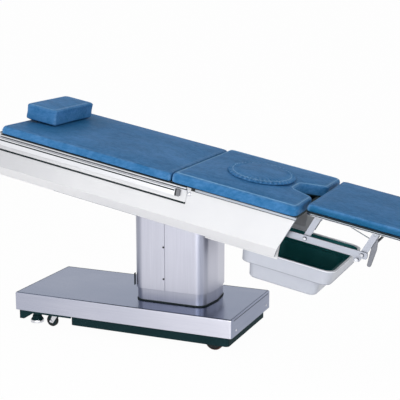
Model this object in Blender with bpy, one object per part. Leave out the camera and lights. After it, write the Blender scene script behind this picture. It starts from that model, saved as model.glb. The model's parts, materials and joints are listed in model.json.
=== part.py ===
"""Gynecological operating table on one lift column, in metres, +Z up.

X runs from the head end to the foot end, Y across the table, and Z is height above the floor.
The base and column are drawn about the middle of the base. The table top is drawn flat, with the
tilt shaft at zero, and is then tilted as a whole.
"""
import bmesh
import bpy
from math import cos, pi, radians, sin, tan
from mathutils import Vector

# Gaps between pieces
SEAT_GAP = 0.0003
RUNNING_GAP = 0.0008
SIDE_GAP = 0.0010
WELD = 0.0015

# Base
BASE_LENGTH = 0.920
BASE_WIDTH = 0.420
BASE_TOP = 0.135
BASE_SHEET = 0.002
BASE_CORNER = 0.008
BASE_FOLD = 0.005
SKIRT_HEIGHT = 0.071
BED_THICKNESS = 0.028
WEIGHT_HEAD_SET = 0.242
WEIGHT_FOOT_SET = 0.018
WEIGHT_SIDE_SET = 0.014
WEIGHT_CLEARANCE = 0.026
WEIGHT_CORNER = 0.012
FOOT_FROM_HEAD = 0.057
FOOT_FROM_SIDE = 0.070
FOOT_PAD_RADIUS = 0.027
FOOT_PAD_HEIGHT = 0.011
FOOT_STEM_RADIUS = 0.016
FOOT_TRAVEL = 0.020
FOOT_BRACKET = 0.050
FOOT_BRACKET_DROP = 0.045
GUSSET_FROM_HEAD = 0.007
GUSSET_FROM_SIDE = 0.020
GUSSET_LENGTH = 0.085
GUSSET_TIP = 0.019
GUSSET_DROP = 0.082
GUSSET_THICKNESS = 0.006
CASTER_FROM_HEAD = 0.165
CASTER_FROM_SIDE = 0.042
CASTER_TRAIL = 0.020
CASTER_RADIUS = 0.024
CASTER_WIDTH = 0.018
CASTER_FLOOR_GAP = 0.001
CASTER_STEM_RADIUS = 0.011
FORK_SHEET = 0.003
WHEEL_FROM_FOOT = 0.083
WHEEL_FROM_SIDE = 0.044
WHEEL_RADIUS = 0.036
WHEEL_WIDTH = 0.030
WHEEL_POCKET_GAP = 0.008
AXLE_RADIUS = 0.005

# Column and lift
COLUMN_FROM_FOOT = 0.290
COLUMN_LENGTH = 0.310
COLUMN_WIDTH = 0.230
COLUMN_CORNER = 0.042
COLUMN_BOW = 0.014
COLUMN_SHEET = 0.002
COLUMN_RISE = 0.049
COLUMN_SEAM = -0.020
SEAM_GAP = 0.0008
SLEEVE_GAP = 0.003
SLEEVE_SHEET = 0.003
SLEEVE_LAP = 0.051
GASKET_WIDTH = 0.003
GASKET_HEIGHT = 0.005
LIFT_DOWN = 0.040
LIFT_UP = 0.200
CYLINDER_RADIUS = 0.046
CYLINDER_FLOOR = 0.014
ROD_RADIUS = 0.028
ROD_GRIP = 0.030
HEAD_PLATE = 0.012

# Tilt
SHAFT_HEIGHT = 0.595
REST_TILT = 10.8
HEAD_DROP = 0.075
SHAFT_RADIUS = 0.018
FLANGE_RADIUS = 0.038
FLANGE_THICKNESS = 0.010
BEARING_SET = 0.020
BEARING_WIDTH = 0.028
BEARING_LENGTH = 0.090
GEARBOX_WIDTH = 0.100
GEARBOX_LENGTH = 0.090
MOTOR_RADIUS = 0.028
MOTOR_LENGTH = 0.075
MOTOR_LIFT = 0.011

# Table frame and covers
BEAM_SET = 0.030
BEAM_WIDTH = 0.030
BEAM_HEIGHT = 0.061
BEAM_WALL = 0.003
BEAM_BOTTOM = -0.002
BEAM_HEAD_SET = 0.017
BEAM_FOOT_SET = 0.045
CROSS_WIDTH = 0.030
CROSS_HEIGHT = 0.038
HEAD_CROSS_SET = 0.030
BACK_CROSS_X = -0.215
SEAT_CROSS_X = 0.225
FOOT_CROSS_SET = 0.025
DECK_THICKNESS = 0.003
COVER_SET = 0.018
COVER_SHEET = 0.002
COVER_TOP_GAP = 0.003
COVER_WALL_DEPTH = 0.070
COVER_FLANGE = 0.045
COVER_LIP = 0.005
COVER_HEAD_OVER = 0.018
COVER_FOOT_OVER = -0.002
COVER_SLANT = 20.0
BRACKET_LENGTH = 0.040
BRACKET_HEIGHT = 0.022
BRACKET_PLACES = (-0.500, -0.050, 0.380)

# Back section
SEAM_X = 0.070
SEAM_WIDTH = 0.005
HINGE_RISE = 0.027
HINGE_SPREAD = 0.150
LUG_THICKNESS = 0.006
LUG_RADIUS = 0.0055
LUG_LENGTH = 0.034
PIN_RADIUS = 0.003
POCKET_GAP = 0.0015
BACK_HEAD_X = -0.642
SKIRT_HEAD_OVER = 0.020
SKIRT_TAIL = 0.064
SKIRT_SHEET = 0.003
SKIRT_BOTTOM = 0.002
SKIRT_GAP = 0.002
SKIRT_CORNER = 0.004
RAIL_HEIGHT = 0.025
RAIL_THICKNESS = 0.010
RAIL_CORNER = 0.003
RAIL_HEAD_SET = -0.010
RAIL_TAIL = 0.026
RAIL_DROP = 0.0125
RAIL_STANDOFF = 0.010
SPACER_LENGTH = 0.026
SPACER_HEIGHT = 0.018
SPACER_DROP = 0.003
SPACER_SET = 0.050
PILLOW_LENGTH = 0.128
PILLOW_WIDTH = 0.296
PILLOW_HEIGHT = 0.062
PILLOW_FROM_HEAD = 0.003
PILLOW_CORNER = 0.014
PILLOW_SHIFT = 0.022

# Cushions
CUSHION_WIDTH = 0.560
CUSHION_CORNER = 0.016
CUSHION_EDGE = 0.012
CUSHION_CROWN = 0.004
CUSHION_REACH = 0.090
BACK_CUSHION = 0.034
SEAT_CUSHION = 0.040
LEG_CUSHION = 0.029
LEG_EDGE = 0.008

# Seat section
SEAT_FOOT_X = 0.545
SEAT_DECK_SET = 0.004
TRIM_SET = 0.095
TRIM_HEIGHT = 0.013
TRIM_THICKNESS = 0.008
NOTCH_DEPTH = 0.090
NOTCH_MOUTH = 0.190
NOTCH_FLOOR = 0.090
NOTCH_CORNER = 0.024
NOTCH_DECK_GAP = 0.006
PAD_LENGTH = 0.251
PAD_FROM_NOTCH = 0.019
PAD_WIDTH = 0.304
PAD_HEIGHT = 0.012
PAD_CROWN = 0.006
PAD_EDGE = 0.010

# Leg section and its links
BAR_SET = 0.004
BAR_THICKNESS = 0.006
BAR_HEIGHT = 0.024
BAR_HEAD_X = 0.290
BAR_FOOT_OVER = 0.019
GUIDE_WALL = 0.003
GUIDE_HEAD_OVER = 0.030
GUIDE_LIP = 0.006
TIE_SET = 0.020
TIE_LENGTH = 0.020
REAR_PIVOT_SET = 0.016
PIVOT_SPACING = 0.206
LINK_LENGTH = 0.0838
LINK_LEAN = 19.4
LINK_WIDTH = 0.022
LINK_THICKNESS = 0.006
BOLT_RADIUS = 0.005
BOLT_HEAD_RADIUS = 0.0075
BOLT_HEAD = 0.004
LEG_GAP = 0.017
LEG_LENGTH = 0.600
LEG_SET = 0.001
LEG_FRAME_DEPTH = 0.0125
LEG_SHEET = 0.003
LEG_CORNER = 0.020
LEG_PIVOT_DROP = 0.0145
LUG_WIDTH = 0.026
HANDLE_THICKNESS = 0.006
HANDLE_WIDTH = 0.020
HANDLE_LENGTH = 0.117
HANDLE_LEAN = 5.0
HANDLE_ROD_RADIUS = 0.0045
HANDLE_ROD_DROP = 0.034
LATCH_RADIUS = 0.002
LATCH_REACH = 0.125
LATCH_INSET = 0.012
KNOB_SET = 0.014
KNOB_RADIUS = 0.0065
KNOB_LENGTH = 0.010
KNOB_TAB = 0.014

# Basin
BASIN_HEAD_X = 0.344
BASIN_LENGTH = 0.346
BASIN_WIDTH = CUSHION_WIDTH * 0.7
BASIN_RIM_TOP = -0.115
BASIN_RIM = 0.007
BASIN_RIM_THICKNESS = 0.005
BASIN_UPPER_DEPTH = 0.055
BASIN_LOWER_DEPTH = 0.060
BASIN_STEP = 0.014
BASIN_DRAFT = 0.010
BASIN_FOOT_SET = 0.022
BASIN_HEAD_SET = 0.013
BASIN_WALL = 0.003
BASIN_CORNER = 0.040
RUNNER_SHEET = 0.003
RUNNER_RAIL = 0.022

# Levels and places worked out from the driving dimensions
SIDES = (("right", -1), ("left", 1))
COLUMN_X = BASE_LENGTH / 2 - COLUMN_FROM_FOOT
FOOT_SPREAD = BASE_WIDTH / 2 - FOOT_FROM_SIDE
CASTER_SPREAD = BASE_WIDTH / 2 - CASTER_FROM_SIDE
WHEEL_SPREAD = BASE_WIDTH / 2 - WHEEL_FROM_SIDE
BEARING_SPREAD = COLUMN_WIDTH / 2 - BEARING_SET
MOTOR_DROP = HEAD_DROP - MOTOR_LIFT - MOTOR_RADIUS
COVER_HALF_WIDTH = CUSHION_WIDTH / 2 - COVER_SET
COVER_INNER = COVER_HALF_WIDTH - COVER_SHEET
COVER_HEAD_X = BACK_HEAD_X - COVER_HEAD_OVER
COVER_FOOT_X = SEAT_FOOT_X + COVER_FOOT_OVER
BEAM_SPREAD = COVER_INNER - BEAM_SET - BEAM_WIDTH
BEAM_HEAD_X = BACK_HEAD_X + BEAM_HEAD_SET
BEAM_FOOT_X = SEAT_FOOT_X - BEAM_FOOT_SET
HEAD_CROSS_X = BEAM_HEAD_X + HEAD_CROSS_SET
FOOT_CROSS_X = BEAM_FOOT_X - FOOT_CROSS_SET
SKIRT_HEAD_X = BACK_HEAD_X - SKIRT_HEAD_OVER
SKIRT_TAIL_X = SEAM_X + SKIRT_TAIL
RAIL_HEAD_X = BACK_HEAD_X + RAIL_HEAD_SET
RAIL_TAIL_X = SEAM_X + RAIL_TAIL
TRIM_X = SEAM_X + TRIM_SET
NOTCH_X = SEAT_FOOT_X - NOTCH_DEPTH
PAD_FOOT_X = NOTCH_X - PAD_FROM_NOTCH
LEG_HEAD_X = SEAT_FOOT_X + LEG_GAP
REAR_PIVOT_X = LEG_HEAD_X + REAR_PIVOT_SET
FRONT_PIVOT_X = REAR_PIVOT_X + PIVOT_SPACING
BAR_FOOT_X = FRONT_PIVOT_X + BAR_FOOT_OVER
BAR_HALF_WIDTH = BEAM_SPREAD + BEAM_WIDTH - BAR_SET
LEG_WIDTH = 2 * (BAR_HALF_WIDTH - LEG_SET)
GUIDE_HEAD_X = BAR_HEAD_X - GUIDE_HEAD_OVER
TIE_X = BAR_HEAD_X + TIE_SET
KNOB_X = FRONT_PIVOT_X - KNOB_SET
LATCH_X = FRONT_PIVOT_X - LATCH_REACH
BEAM_TOP = BEAM_BOTTOM + BEAM_HEIGHT
DECK_BOTTOM = BEAM_TOP + SEAT_GAP
DECK_TOP = DECK_BOTTOM + DECK_THICKNESS
CUSHION_BOTTOM = DECK_TOP + SEAT_GAP
BACK_TOP = CUSHION_BOTTOM + BACK_CUSHION
SEAT_TOP = CUSHION_BOTTOM + SEAT_CUSHION
HINGE_Z = CUSHION_BOTTOM + HINGE_RISE
BED_TOP = BASE_TOP - BASE_SHEET - SEAT_GAP
BED_SIDE_GAP = BASE_FOLD - BASE_SHEET
BED_BOTTOM = BED_TOP - BED_THICKNESS
HANGER_TOP = BED_BOTTOM - SEAT_GAP
SLEEVE_HEIGHT = COLUMN_RISE + LIFT_UP + SLEEVE_LAP
ROD_END = BED_TOP + CYLINDER_FLOOR + LIFT_DOWN + SIDE_GAP
CYLINDER_TOP = ROD_END + LIFT_UP + ROD_GRIP
COVER_TOP = DECK_BOTTOM - COVER_TOP_GAP
COVER_FOLD = -COVER_WALL_DEPTH + COVER_SHEET * tan(pi / 8)
COVER_FLOOR = -COVER_WALL_DEPTH - COVER_FLANGE
LIP_TOP = COVER_FLOOR + COVER_LIP
SKIRT_INNER = COVER_HALF_WIDTH + SKIRT_GAP
SKIRT_OUTER = SKIRT_INNER + SKIRT_SHEET
RAIL_INNER = SKIRT_OUTER + RAIL_STANDOFF
RAIL_TOP = DECK_BOTTOM - RAIL_DROP
BAR_TOP = BEAM_BOTTOM - RUNNING_GAP
BAR_BOTTOM = BAR_TOP - BAR_HEIGHT
PIVOT_Z = (BAR_TOP + BAR_BOTTOM) / 2
BAR_INNER = BAR_HALF_WIDTH - BAR_THICKNESS
LINK_OUTER = BAR_INNER - SIDE_GAP
LINK_INNER = LINK_OUTER - LINK_THICKNESS
HANDLE_OUTER = LINK_INNER - SIDE_GAP
HANDLE_INNER = HANDLE_OUTER - HANDLE_THICKNESS
LUG_OUTER = HANDLE_INNER - SIDE_GAP
LINK_RUN = LINK_LENGTH * sin(radians(LINK_LEAN))
LINK_RISE = LINK_LENGTH * cos(radians(LINK_LEAN))
LEG_PIVOT_Z = PIVOT_Z + LINK_RISE
LEG_DECK_BOTTOM = LEG_PIVOT_Z + LEG_PIVOT_DROP
LEG_DECK_TOP = LEG_DECK_BOTTOM + LEG_SHEET
LEG_CUSHION_BOTTOM = LEG_DECK_TOP + SEAT_GAP
RUNNER_HALF = BASIN_WIDTH / 2 + BASIN_RIM + RUNNING_GAP
RUNNER_LEDGE = BASIN_RIM_TOP - BASIN_RIM_THICKNESS - SEAT_GAP


class Carrier:
    """An empty on a joint's axis that carries one body; drawn_at is its place in the drawing."""

    def __init__(self, name, parent=None, drawn_at=(0, 0, 0), location=None, turn=0.0):
        self.drawn_at = Vector(drawn_at)
        self.empty = bpy.data.objects.new(name, None)
        bpy.context.scene.collection.objects.link(self.empty)
        if parent:
            self.empty.parent = parent.empty
            location = location or self.drawn_at - parent.drawn_at
        self.empty.location = location or (0, 0, 0)
        self.empty.rotation_euler.y = radians(turn)


def finish(name, colour, roughness, metallic=0.0):
    """Principled material of one plain colour."""
    mat = bpy.data.materials.new(name)
    mat.use_nodes = True
    shader = mat.node_tree.nodes["Principled BSDF"]
    shader.inputs["Base Color"].default_value = (*colour, 1.0)
    shader.inputs["Roughness"].default_value = roughness
    shader.inputs["Metallic"].default_value = metallic
    return mat


def add(name, bm, carrier, mat, smooth=False):
    """Turn a drawing into a named object on its carrier."""
    bmesh.ops.recalc_face_normals(bm, faces=bm.faces)
    bmesh.ops.translate(bm, verts=bm.verts, vec=-carrier.drawn_at)
    mesh = bpy.data.meshes.new(name)
    bm.to_mesh(mesh)
    bm.free()
    mesh.materials.append(mat)
    if smooth:
        mesh.shade_smooth()
        mesh.set_sharp_from_angle(angle=radians(35))
    obj = bpy.data.objects.new(name, mesh)
    bpy.context.scene.collection.objects.link(obj)
    obj.parent = carrier.empty
    return obj


def combine(obj, bm, carrier, operation):
    """Cut a drawing out of an object, or join it on, with a hidden helper."""
    helper = add(obj.name + "_helper", bm, carrier, obj.data.materials[0])
    helper.hide_render = True
    helper.display_type = "WIRE"
    modifier = obj.modifiers.new(operation.title(), "BOOLEAN")
    modifier.operation = operation
    modifier.solver = "EXACT"
    modifier.object = helper


def filleted(corners, radius, steps=4):
    """Outline with rounded corners; radius is one value, or one for each corner."""
    radii = radius if isinstance(radius, (list, tuple)) else [radius] * len(corners)
    outline = []
    for i, r in enumerate(radii):
        here = Vector(corners[i])
        to_last = (Vector(corners[i - 1]) - here).normalized()
        to_next = (Vector(corners[(i + 1) % len(corners)]) - here).normalized()
        if r == 0:
            outline.append(here)
            continue
        half = to_last.angle(to_next) / 2
        centre = here + (to_last + to_next).normalized() * r / sin(half)
        first = (here + to_last * r / tan(half) - centre).normalized()
        last = (here + to_next * r / tan(half) - centre).normalized()
        for k in range(steps + 1):
            outline.append(centre + first.slerp(last, k / steps) * r)
    return outline


def rectangle(low_x, high_x, low_y, high_y):
    """Corners of a rectangle, anticlockwise."""
    return [(low_x, low_y), (high_x, low_y), (high_x, high_y), (low_x, high_y)]


def inset(outline, distance):
    """Outline moved inwards by a distance; a negative distance moves it outwards."""
    moved = []
    for i, here in enumerate(outline):
        before = (here - outline[i - 1]).normalized().orthogonal()
        after = (outline[(i + 1) % len(outline)] - here).normalized().orthogonal()
        moved.append(here + (before + after) * distance / (1 + before.dot(after)))
    return moved


def circle(centre, radius, sides):
    """Outline of a round hole or pin."""
    turns = [2 * pi * k / sides for k in range(sides)]
    return [(centre[0] + radius * cos(a), centre[1] + radius * sin(a)) for a in turns]


def at_level(outline, level, axis="Z"):
    """Points of a flat outline, set at a level along an axis."""
    if axis == "X":
        return [(level, u, v) for u, v in outline]
    if axis == "Y":
        return [(u, level, v) for u, v in outline]
    return [(u, v, level) for u, v in outline]


def loft(bm, rings, closed=False):
    """Skin a row of rings, capped at both ends or closed into a hoop."""
    loops = [[bm.verts.new(point) for point in ring] for ring in rings]
    for lower, upper in zip(loops, loops[1:] + loops[:1] if closed else loops[1:]):
        for i, vert in enumerate(lower):
            bm.faces.new((lower[i - 1], vert, upper[i], upper[i - 1]))
    if closed:
        return None
    bm.faces.new(loops[0])
    return bm.faces.new(loops[-1])


def folded_rim(outline, top, radius, steps=3):
    """Rings of a sheet's bent edge, from its wall up to its flat top."""
    turns = [pi / 2 * k / steps for k in range(steps + 1)]
    return [at_level(inset(outline, radius * (1 - cos(turn))), top - radius * (1 - sin(turn)))
            for turn in turns]


def prism(bm, outline, axis, low, high):
    """Solid of a flat outline between two levels along an axis."""
    loft(bm, [at_level(outline, low, axis), at_level(outline, high, axis)])


def box(bm, low, high):
    """Plain block between two corners."""
    prism(bm, rectangle(low[0], high[0], low[1], high[1]), "Z", low[2], high[2])


def turned(bm, profile, centre, axis="Z", sides=24, closed=False):
    """Solid turned about an axis from pairs of radius and level."""
    rings = [at_level(circle(centre, radius, sides), level, axis) for radius, level in profile]
    loft(bm, rings, closed)


def rod(bm, start, end, radius, sides=12):
    """Round rod between two points."""
    start, end = Vector(start), Vector(end)
    across = (end - start).orthogonal().normalized() * radius
    other = (end - start).normalized().cross(across)
    turns = [2 * pi * k / sides for k in range(sides)]
    hoop = [across * cos(a) + other * sin(a) for a in turns]
    loft(bm, [[start + h for h in hoop], [end + h for h in hoop]])


def distance_to(outline, point):
    """Shortest distance from a point to an outline."""
    best = None
    for i, end in enumerate(outline):
        start = outline[i - 1]
        run = end - start
        share = max(0.0, min(1.0, (point - start).dot(run) / run.length_squared))
        gap = (point - start - run * share).length
        best = gap if best is None else min(best, gap)
    return best


def cushion(name, outline, low, high, edge, crown, reach, carrier, mat, cells=(6, 5)):
    """Upholstered pad: tucked foot, drawn-in sides, rolled edge and crowned top."""
    bm = bmesh.new()
    side = high - edge - low
    profile = [(edge * 0.2, low), (0, low + side * 0.25), (edge * 0.08, low + side * 0.6), (0, low + side)]
    for k in (1, 2, 3):
        turn = pi / 2 * k / 3
        profile.append((edge * (1 - cos(turn)), high - edge + edge * sin(turn)))
    top = loft(bm, [at_level(inset(outline, tuck), level) for tuck, level in profile])
    patch = [top, *top.edges, *top.verts]
    for axis, count in enumerate(cells):
        values = [point[axis] for point in outline]
        for k in range(1, count):
            place = Vector((0, 0, 0))
            place[axis] = min(values) + (max(values) - min(values)) * k / count
            normal = Vector((axis == 0, axis == 1, 0))
            cut = bmesh.ops.bisect_plane(bm, geom=patch, plane_co=place, plane_no=normal)
            patch = cut["geom"]
    for vert in (item for item in patch if isinstance(item, bmesh.types.BMVert)):
        share = min(1.0, distance_to(outline, vert.co.xy) / reach)
        vert.co.z += crown * share * share * (3 - 2 * share)
    return add(name, bm, carrier, mat, smooth=True)


def column_outline(inward):
    """Column's plan: rounded at the head end, bowed at the foot end."""
    half_x, half_y = COLUMN_LENGTH / 2 - inward, COLUMN_WIDTH / 2 - inward
    corner = COLUMN_CORNER - inward
    corners = [(-half_x, -half_y), (half_x - COLUMN_BOW, -half_y), (half_x, 0),
               (half_x - COLUMN_BOW, half_y), (-half_x, half_y)]
    outline = filleted(corners, [corner, corner, half_y, corner, corner])
    return [Vector((COLUMN_X, 0)) + point for point in outline]


def base_pieces(base, mats):
    """Cover, bed, counterweight, sleeve and lift cylinder that stand on the floor."""
    half_x, half_y = BASE_LENGTH / 2, BASE_WIDTH / 2
    outer = filleted(rectangle(-half_x, half_x, -half_y, half_y), BASE_CORNER, 3)
    inner = inset(outer, BASE_SHEET)
    foot = BASE_TOP - SKIRT_HEIGHT
    bm = bmesh.new()
    inside = folded_rim(inner, BASE_TOP - BASE_SHEET, BASE_FOLD - BASE_SHEET)
    walls = [at_level(inner, foot), at_level(outer, foot)]
    loft(bm, inside[::-1] + walls + folded_rim(outer, BASE_TOP, BASE_FOLD))
    cover = add("base_cover", bm, base, mats["steel"])
    bm = bmesh.new()
    opening = column_outline(COLUMN_SHEET + SLEEVE_GAP - SEAT_GAP)
    prism(bm, opening, "Z", BASE_TOP - 2 * BASE_SHEET, BASE_TOP + BASE_SHEET)
    combine(cover, bm, base, "DIFFERENCE")

    bm = bmesh.new()
    prism(bm, inset(inner, BED_SIDE_GAP), "Z", BED_BOTTOM, BED_TOP)
    bed = add("bed_plate", bm, base, mats["dark"])
    foot_brackets(bed, base)

    wheel_x = half_x - WHEEL_FROM_FOOT
    reach = WHEEL_RADIUS + WHEEL_POCKET_GAP
    wide = WHEEL_WIDTH / 2 + WHEEL_POCKET_GAP
    bm = bmesh.new()
    side = half_y - WEIGHT_SIDE_SET
    plan = rectangle(WEIGHT_HEAD_SET - half_x, half_x - WEIGHT_FOOT_SET, -side, side)
    prism(bm, filleted(plan, WEIGHT_CORNER, 3), "Z", WEIGHT_CLEARANCE, HANGER_TOP)
    weight = add("counterweight", bm, base, mats["dark"])
    bm = bmesh.new()
    for _, side in SIDES:
        low = (wheel_x - reach, side * WHEEL_SPREAD - wide, WEIGHT_CLEARANCE - WHEEL_POCKET_GAP)
        high = (wheel_x + reach, side * WHEEL_SPREAD + wide, 2 * WHEEL_RADIUS + WHEEL_POCKET_GAP)
        box(bm, low, high)
    combine(weight, bm, base, "DIFFERENCE")
    bm = bmesh.new()
    for _, side in SIDES:
        ends = [side * WHEEL_SPREAD + way * (wide + WELD) for way in (-1, 1)]
        rod(bm, (wheel_x, ends[0], WHEEL_RADIUS), (wheel_x, ends[1], WHEEL_RADIUS), AXLE_RADIUS, 16)
    combine(weight, bm, base, "UNION")

    sleeve = column_outline(COLUMN_SHEET + SLEEVE_GAP)
    bore = column_outline(COLUMN_SHEET + SLEEVE_GAP + SLEEVE_SHEET)
    bottom, top = BED_TOP + SEAT_GAP, BASE_TOP + SLEEVE_HEIGHT
    bm = bmesh.new()
    loft(bm, [at_level(sleeve, bottom), at_level(sleeve, top),
              at_level(bore, top), at_level(bore, bottom)], closed=True)
    add("column_sleeve", bm, base, mats["steel"], smooth=True)

    near = column_outline(COLUMN_SHEET + SLEEVE_GAP - SEAT_GAP)
    far = column_outline(COLUMN_SHEET + SLEEVE_GAP - GASKET_WIDTH)
    bottom, top = BASE_TOP + SEAT_GAP, BASE_TOP + GASKET_HEIGHT
    bm = bmesh.new()
    loft(bm, [at_level(near, bottom), at_level(near, top),
              at_level(inset(far, GASKET_WIDTH / 3), top), at_level(far, bottom)], closed=True)
    add("column_gasket", bm, base, mats["rubber"], smooth=True)

    bottom = BED_TOP + SEAT_GAP
    bm = bmesh.new()
    hole = ROD_RADIUS + RUNNING_GAP
    turned(bm, [(hole, bottom + CYLINDER_FLOOR), (hole, CYLINDER_TOP),
                (CYLINDER_RADIUS, CYLINDER_TOP), (CYLINDER_RADIUS, bottom)], (COLUMN_X, 0))
    add("lift_cylinder", bm, base, mats["dark"], smooth=True)


def foot_brackets(bed, base):
    """Threaded blocks under the bed plate for the levelling feet."""
    x = FOOT_FROM_HEAD - BASE_LENGTH / 2
    half = FOOT_BRACKET / 2
    bottom = HANGER_TOP - FOOT_BRACKET_DROP
    blocks = bmesh.new()
    holes = bmesh.new()
    for _, side in SIDES:
        y = side * FOOT_SPREAD
        plan = filleted(rectangle(x - half, x + half, y - half, y + half), BASE_CORNER, 2)
        prism(blocks, plan, "Z", bottom, BED_BOTTOM + WELD)
        hole = circle((x, y), FOOT_STEM_RADIUS + SEAT_GAP, 16)
        prism(holes, hole, "Z", bottom - SIDE_GAP, HANGER_TOP)
    combine(bed, blocks, base, "UNION")
    combine(bed, holes, base, "DIFFERENCE")
    end_gussets(bed, base)


def end_gussets(bed, base):
    """Corner plates that hang below the skirt at the head end."""
    head = GUSSET_FROM_HEAD - BASE_LENGTH / 2
    top, tip = BED_BOTTOM + WELD, BED_BOTTOM - GUSSET_DROP
    tail = head + GUSSET_LENGTH
    middle = BED_BOTTOM - GUSSET_DROP / 2
    shape = [(head, top), (head, tip), (head + GUSSET_TIP, tip), (tail, middle), (tail, top)]
    plates = bmesh.new()
    for _, side in SIDES:
        near = side * (BASE_WIDTH / 2 - GUSSET_FROM_SIDE - GUSSET_THICKNESS)
        prism(plates, shape, "Y", near, near + side * GUSSET_THICKNESS)
    combine(bed, plates, base, "UNION")


def levelling_feet(base, mats):
    """Screwed feet that lift the head end off its casters."""
    x = FOOT_FROM_HEAD - BASE_LENGTH / 2
    top = HANGER_TOP - FOOT_TRAVEL - SIDE_GAP
    neck = FOOT_PAD_HEIGHT * 0.6
    for name, side in SIDES:
        y = side * FOOT_SPREAD
        carrier = Carrier("foot_axis_" + name, base, (x, y, 0))
        bm = bmesh.new()
        turned(bm, [(FOOT_PAD_RADIUS, 0), (FOOT_PAD_RADIUS, neck),
                    (FOOT_STEM_RADIUS * 1.6, FOOT_PAD_HEIGHT), (FOOT_STEM_RADIUS, FOOT_PAD_HEIGHT),
                    (FOOT_STEM_RADIUS, top)], (x, y), sides=16)
        add("levelling_foot_" + name, bm, carrier, mats["chrome"], smooth=True)


def wheel(name, carrier, centre, radius, width, bore, mats):
    """Rubber wheel with a hub, turned about an axle along Y."""
    x, y, z = centre
    half = width / 2
    rim = radius * 0.86
    hub = radius * 0.45
    face = half * 0.72
    bm = bmesh.new()
    profile = [(bore, y - half), (hub, y - half), (hub * 1.15, y - face), (rim * 0.9, y - face),
               (rim, y - half), (radius, y - half * 0.5), (radius, y + half * 0.5), (rim, y + half),
               (rim * 0.9, y + face), (hub * 1.15, y + face), (hub, y + half), (bore, y + half)]
    turned(bm, profile, (x, z), "Y", 24, closed=True)
    add(name, bm, carrier, mats["rubber"], smooth=True)


def casters(base, mats):
    """Swivel casters at the head end and fixed wheels at the foot end."""
    axis_x = CASTER_FROM_HEAD - BASE_LENGTH / 2
    wheel_x = axis_x - CASTER_TRAIL
    level = CASTER_RADIUS + CASTER_FLOOR_GAP
    inner = CASTER_WIDTH / 2 + SIDE_GAP
    outer = inner + FORK_SHEET
    crown = level + CASTER_RADIUS + 2 * FORK_SHEET
    arm = CASTER_STEM_RADIUS
    for name, side in SIDES:
        y = side * CASTER_SPREAD
        swivel = Carrier("caster_axis_" + name, base, (axis_x, y, 0))
        bm = bmesh.new()
        cheek = [(wheel_x - arm * 0.7, level - arm * 0.7), (wheel_x + arm * 0.7, level - arm * 0.7),
                 (axis_x + arm, crown - FORK_SHEET), (axis_x + arm, crown), (axis_x - arm, crown)]
        prism(bm, filleted(cheek, [0.005, 0.005, 0, 0, 0.006], 3), "Y", y - outer, y + outer)
        fork = add("caster_fork_" + name, bm, swivel, mats["chrome"])
        bm = bmesh.new()
        room = CASTER_RADIUS + FORK_SHEET
        slot = rectangle(wheel_x - room, axis_x + 2 * arm, level - room, crown - FORK_SHEET)
        prism(bm, slot, "Y", y - inner, y + inner)
        combine(fork, bm, swivel, "DIFFERENCE")
        bm = bmesh.new()
        turned(bm, [(arm * 0.7, crown - FORK_SHEET / 2), (arm * 0.7, HANGER_TOP - 2 * FORK_SHEET),
                    (arm * 1.3, HANGER_TOP - 2 * FORK_SHEET), (arm * 1.3, HANGER_TOP)],
               (axis_x, y), sides=16)
        combine(fork, bm, swivel, "UNION")
        bm = bmesh.new()
        rod(bm, (wheel_x, y - outer - SIDE_GAP, level), (wheel_x, y + outer + SIDE_GAP, level),
            AXLE_RADIUS * 0.6)
        combine(fork, bm, swivel, "UNION")
        roll = Carrier("caster_axle_" + name, swivel, (wheel_x, y, level))
        bore = AXLE_RADIUS * 0.6 + SEAT_GAP
        wheel("caster_wheel_" + name, roll, (wheel_x, y, level), CASTER_RADIUS, CASTER_WIDTH, bore, mats)
        centre = (BASE_LENGTH / 2 - WHEEL_FROM_FOOT, side * WHEEL_SPREAD, WHEEL_RADIUS)
        fixed = Carrier("wheel_axle_" + name, base, centre)
        wheel("fixed_wheel_" + name, fixed, centre, WHEEL_RADIUS, WHEEL_WIDTH,
              AXLE_RADIUS + SEAT_GAP, mats)


def column_half(name, column, mats, toward):
    """One half of the outer column cover, from the seam round one end."""
    half_x, half_y = COLUMN_LENGTH / 2, COLUMN_WIDTH / 2
    seam = COLUMN_SEAM + toward * SEAM_GAP / 2
    skins = []
    for inward in (0, COLUMN_SHEET):
        end, wide = half_x - inward, half_y - inward
        corner = COLUMN_CORNER - inward
        if toward > 0:
            corners = [(seam, -wide), (end - COLUMN_BOW, -wide), (end, 0), (end - COLUMN_BOW, wide),
                       (seam, wide)]
            radii = [0, corner, wide, corner, 0]
        else:
            corners = [(seam, wide), (-end, wide), (-end, -wide), (seam, -wide)]
            radii = [0, corner, corner, 0]
        skins.append(filleted(corners, radii))
    plan = [Vector((COLUMN_X, 0)) + point for point in skins[0] + skins[1][::-1]]
    bm = bmesh.new()
    prism(bm, plan, "Z", BASE_TOP + COLUMN_RISE, SHAFT_HEIGHT - HEAD_DROP)
    add(name, bm, column, mats["steel"], smooth=True)


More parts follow.
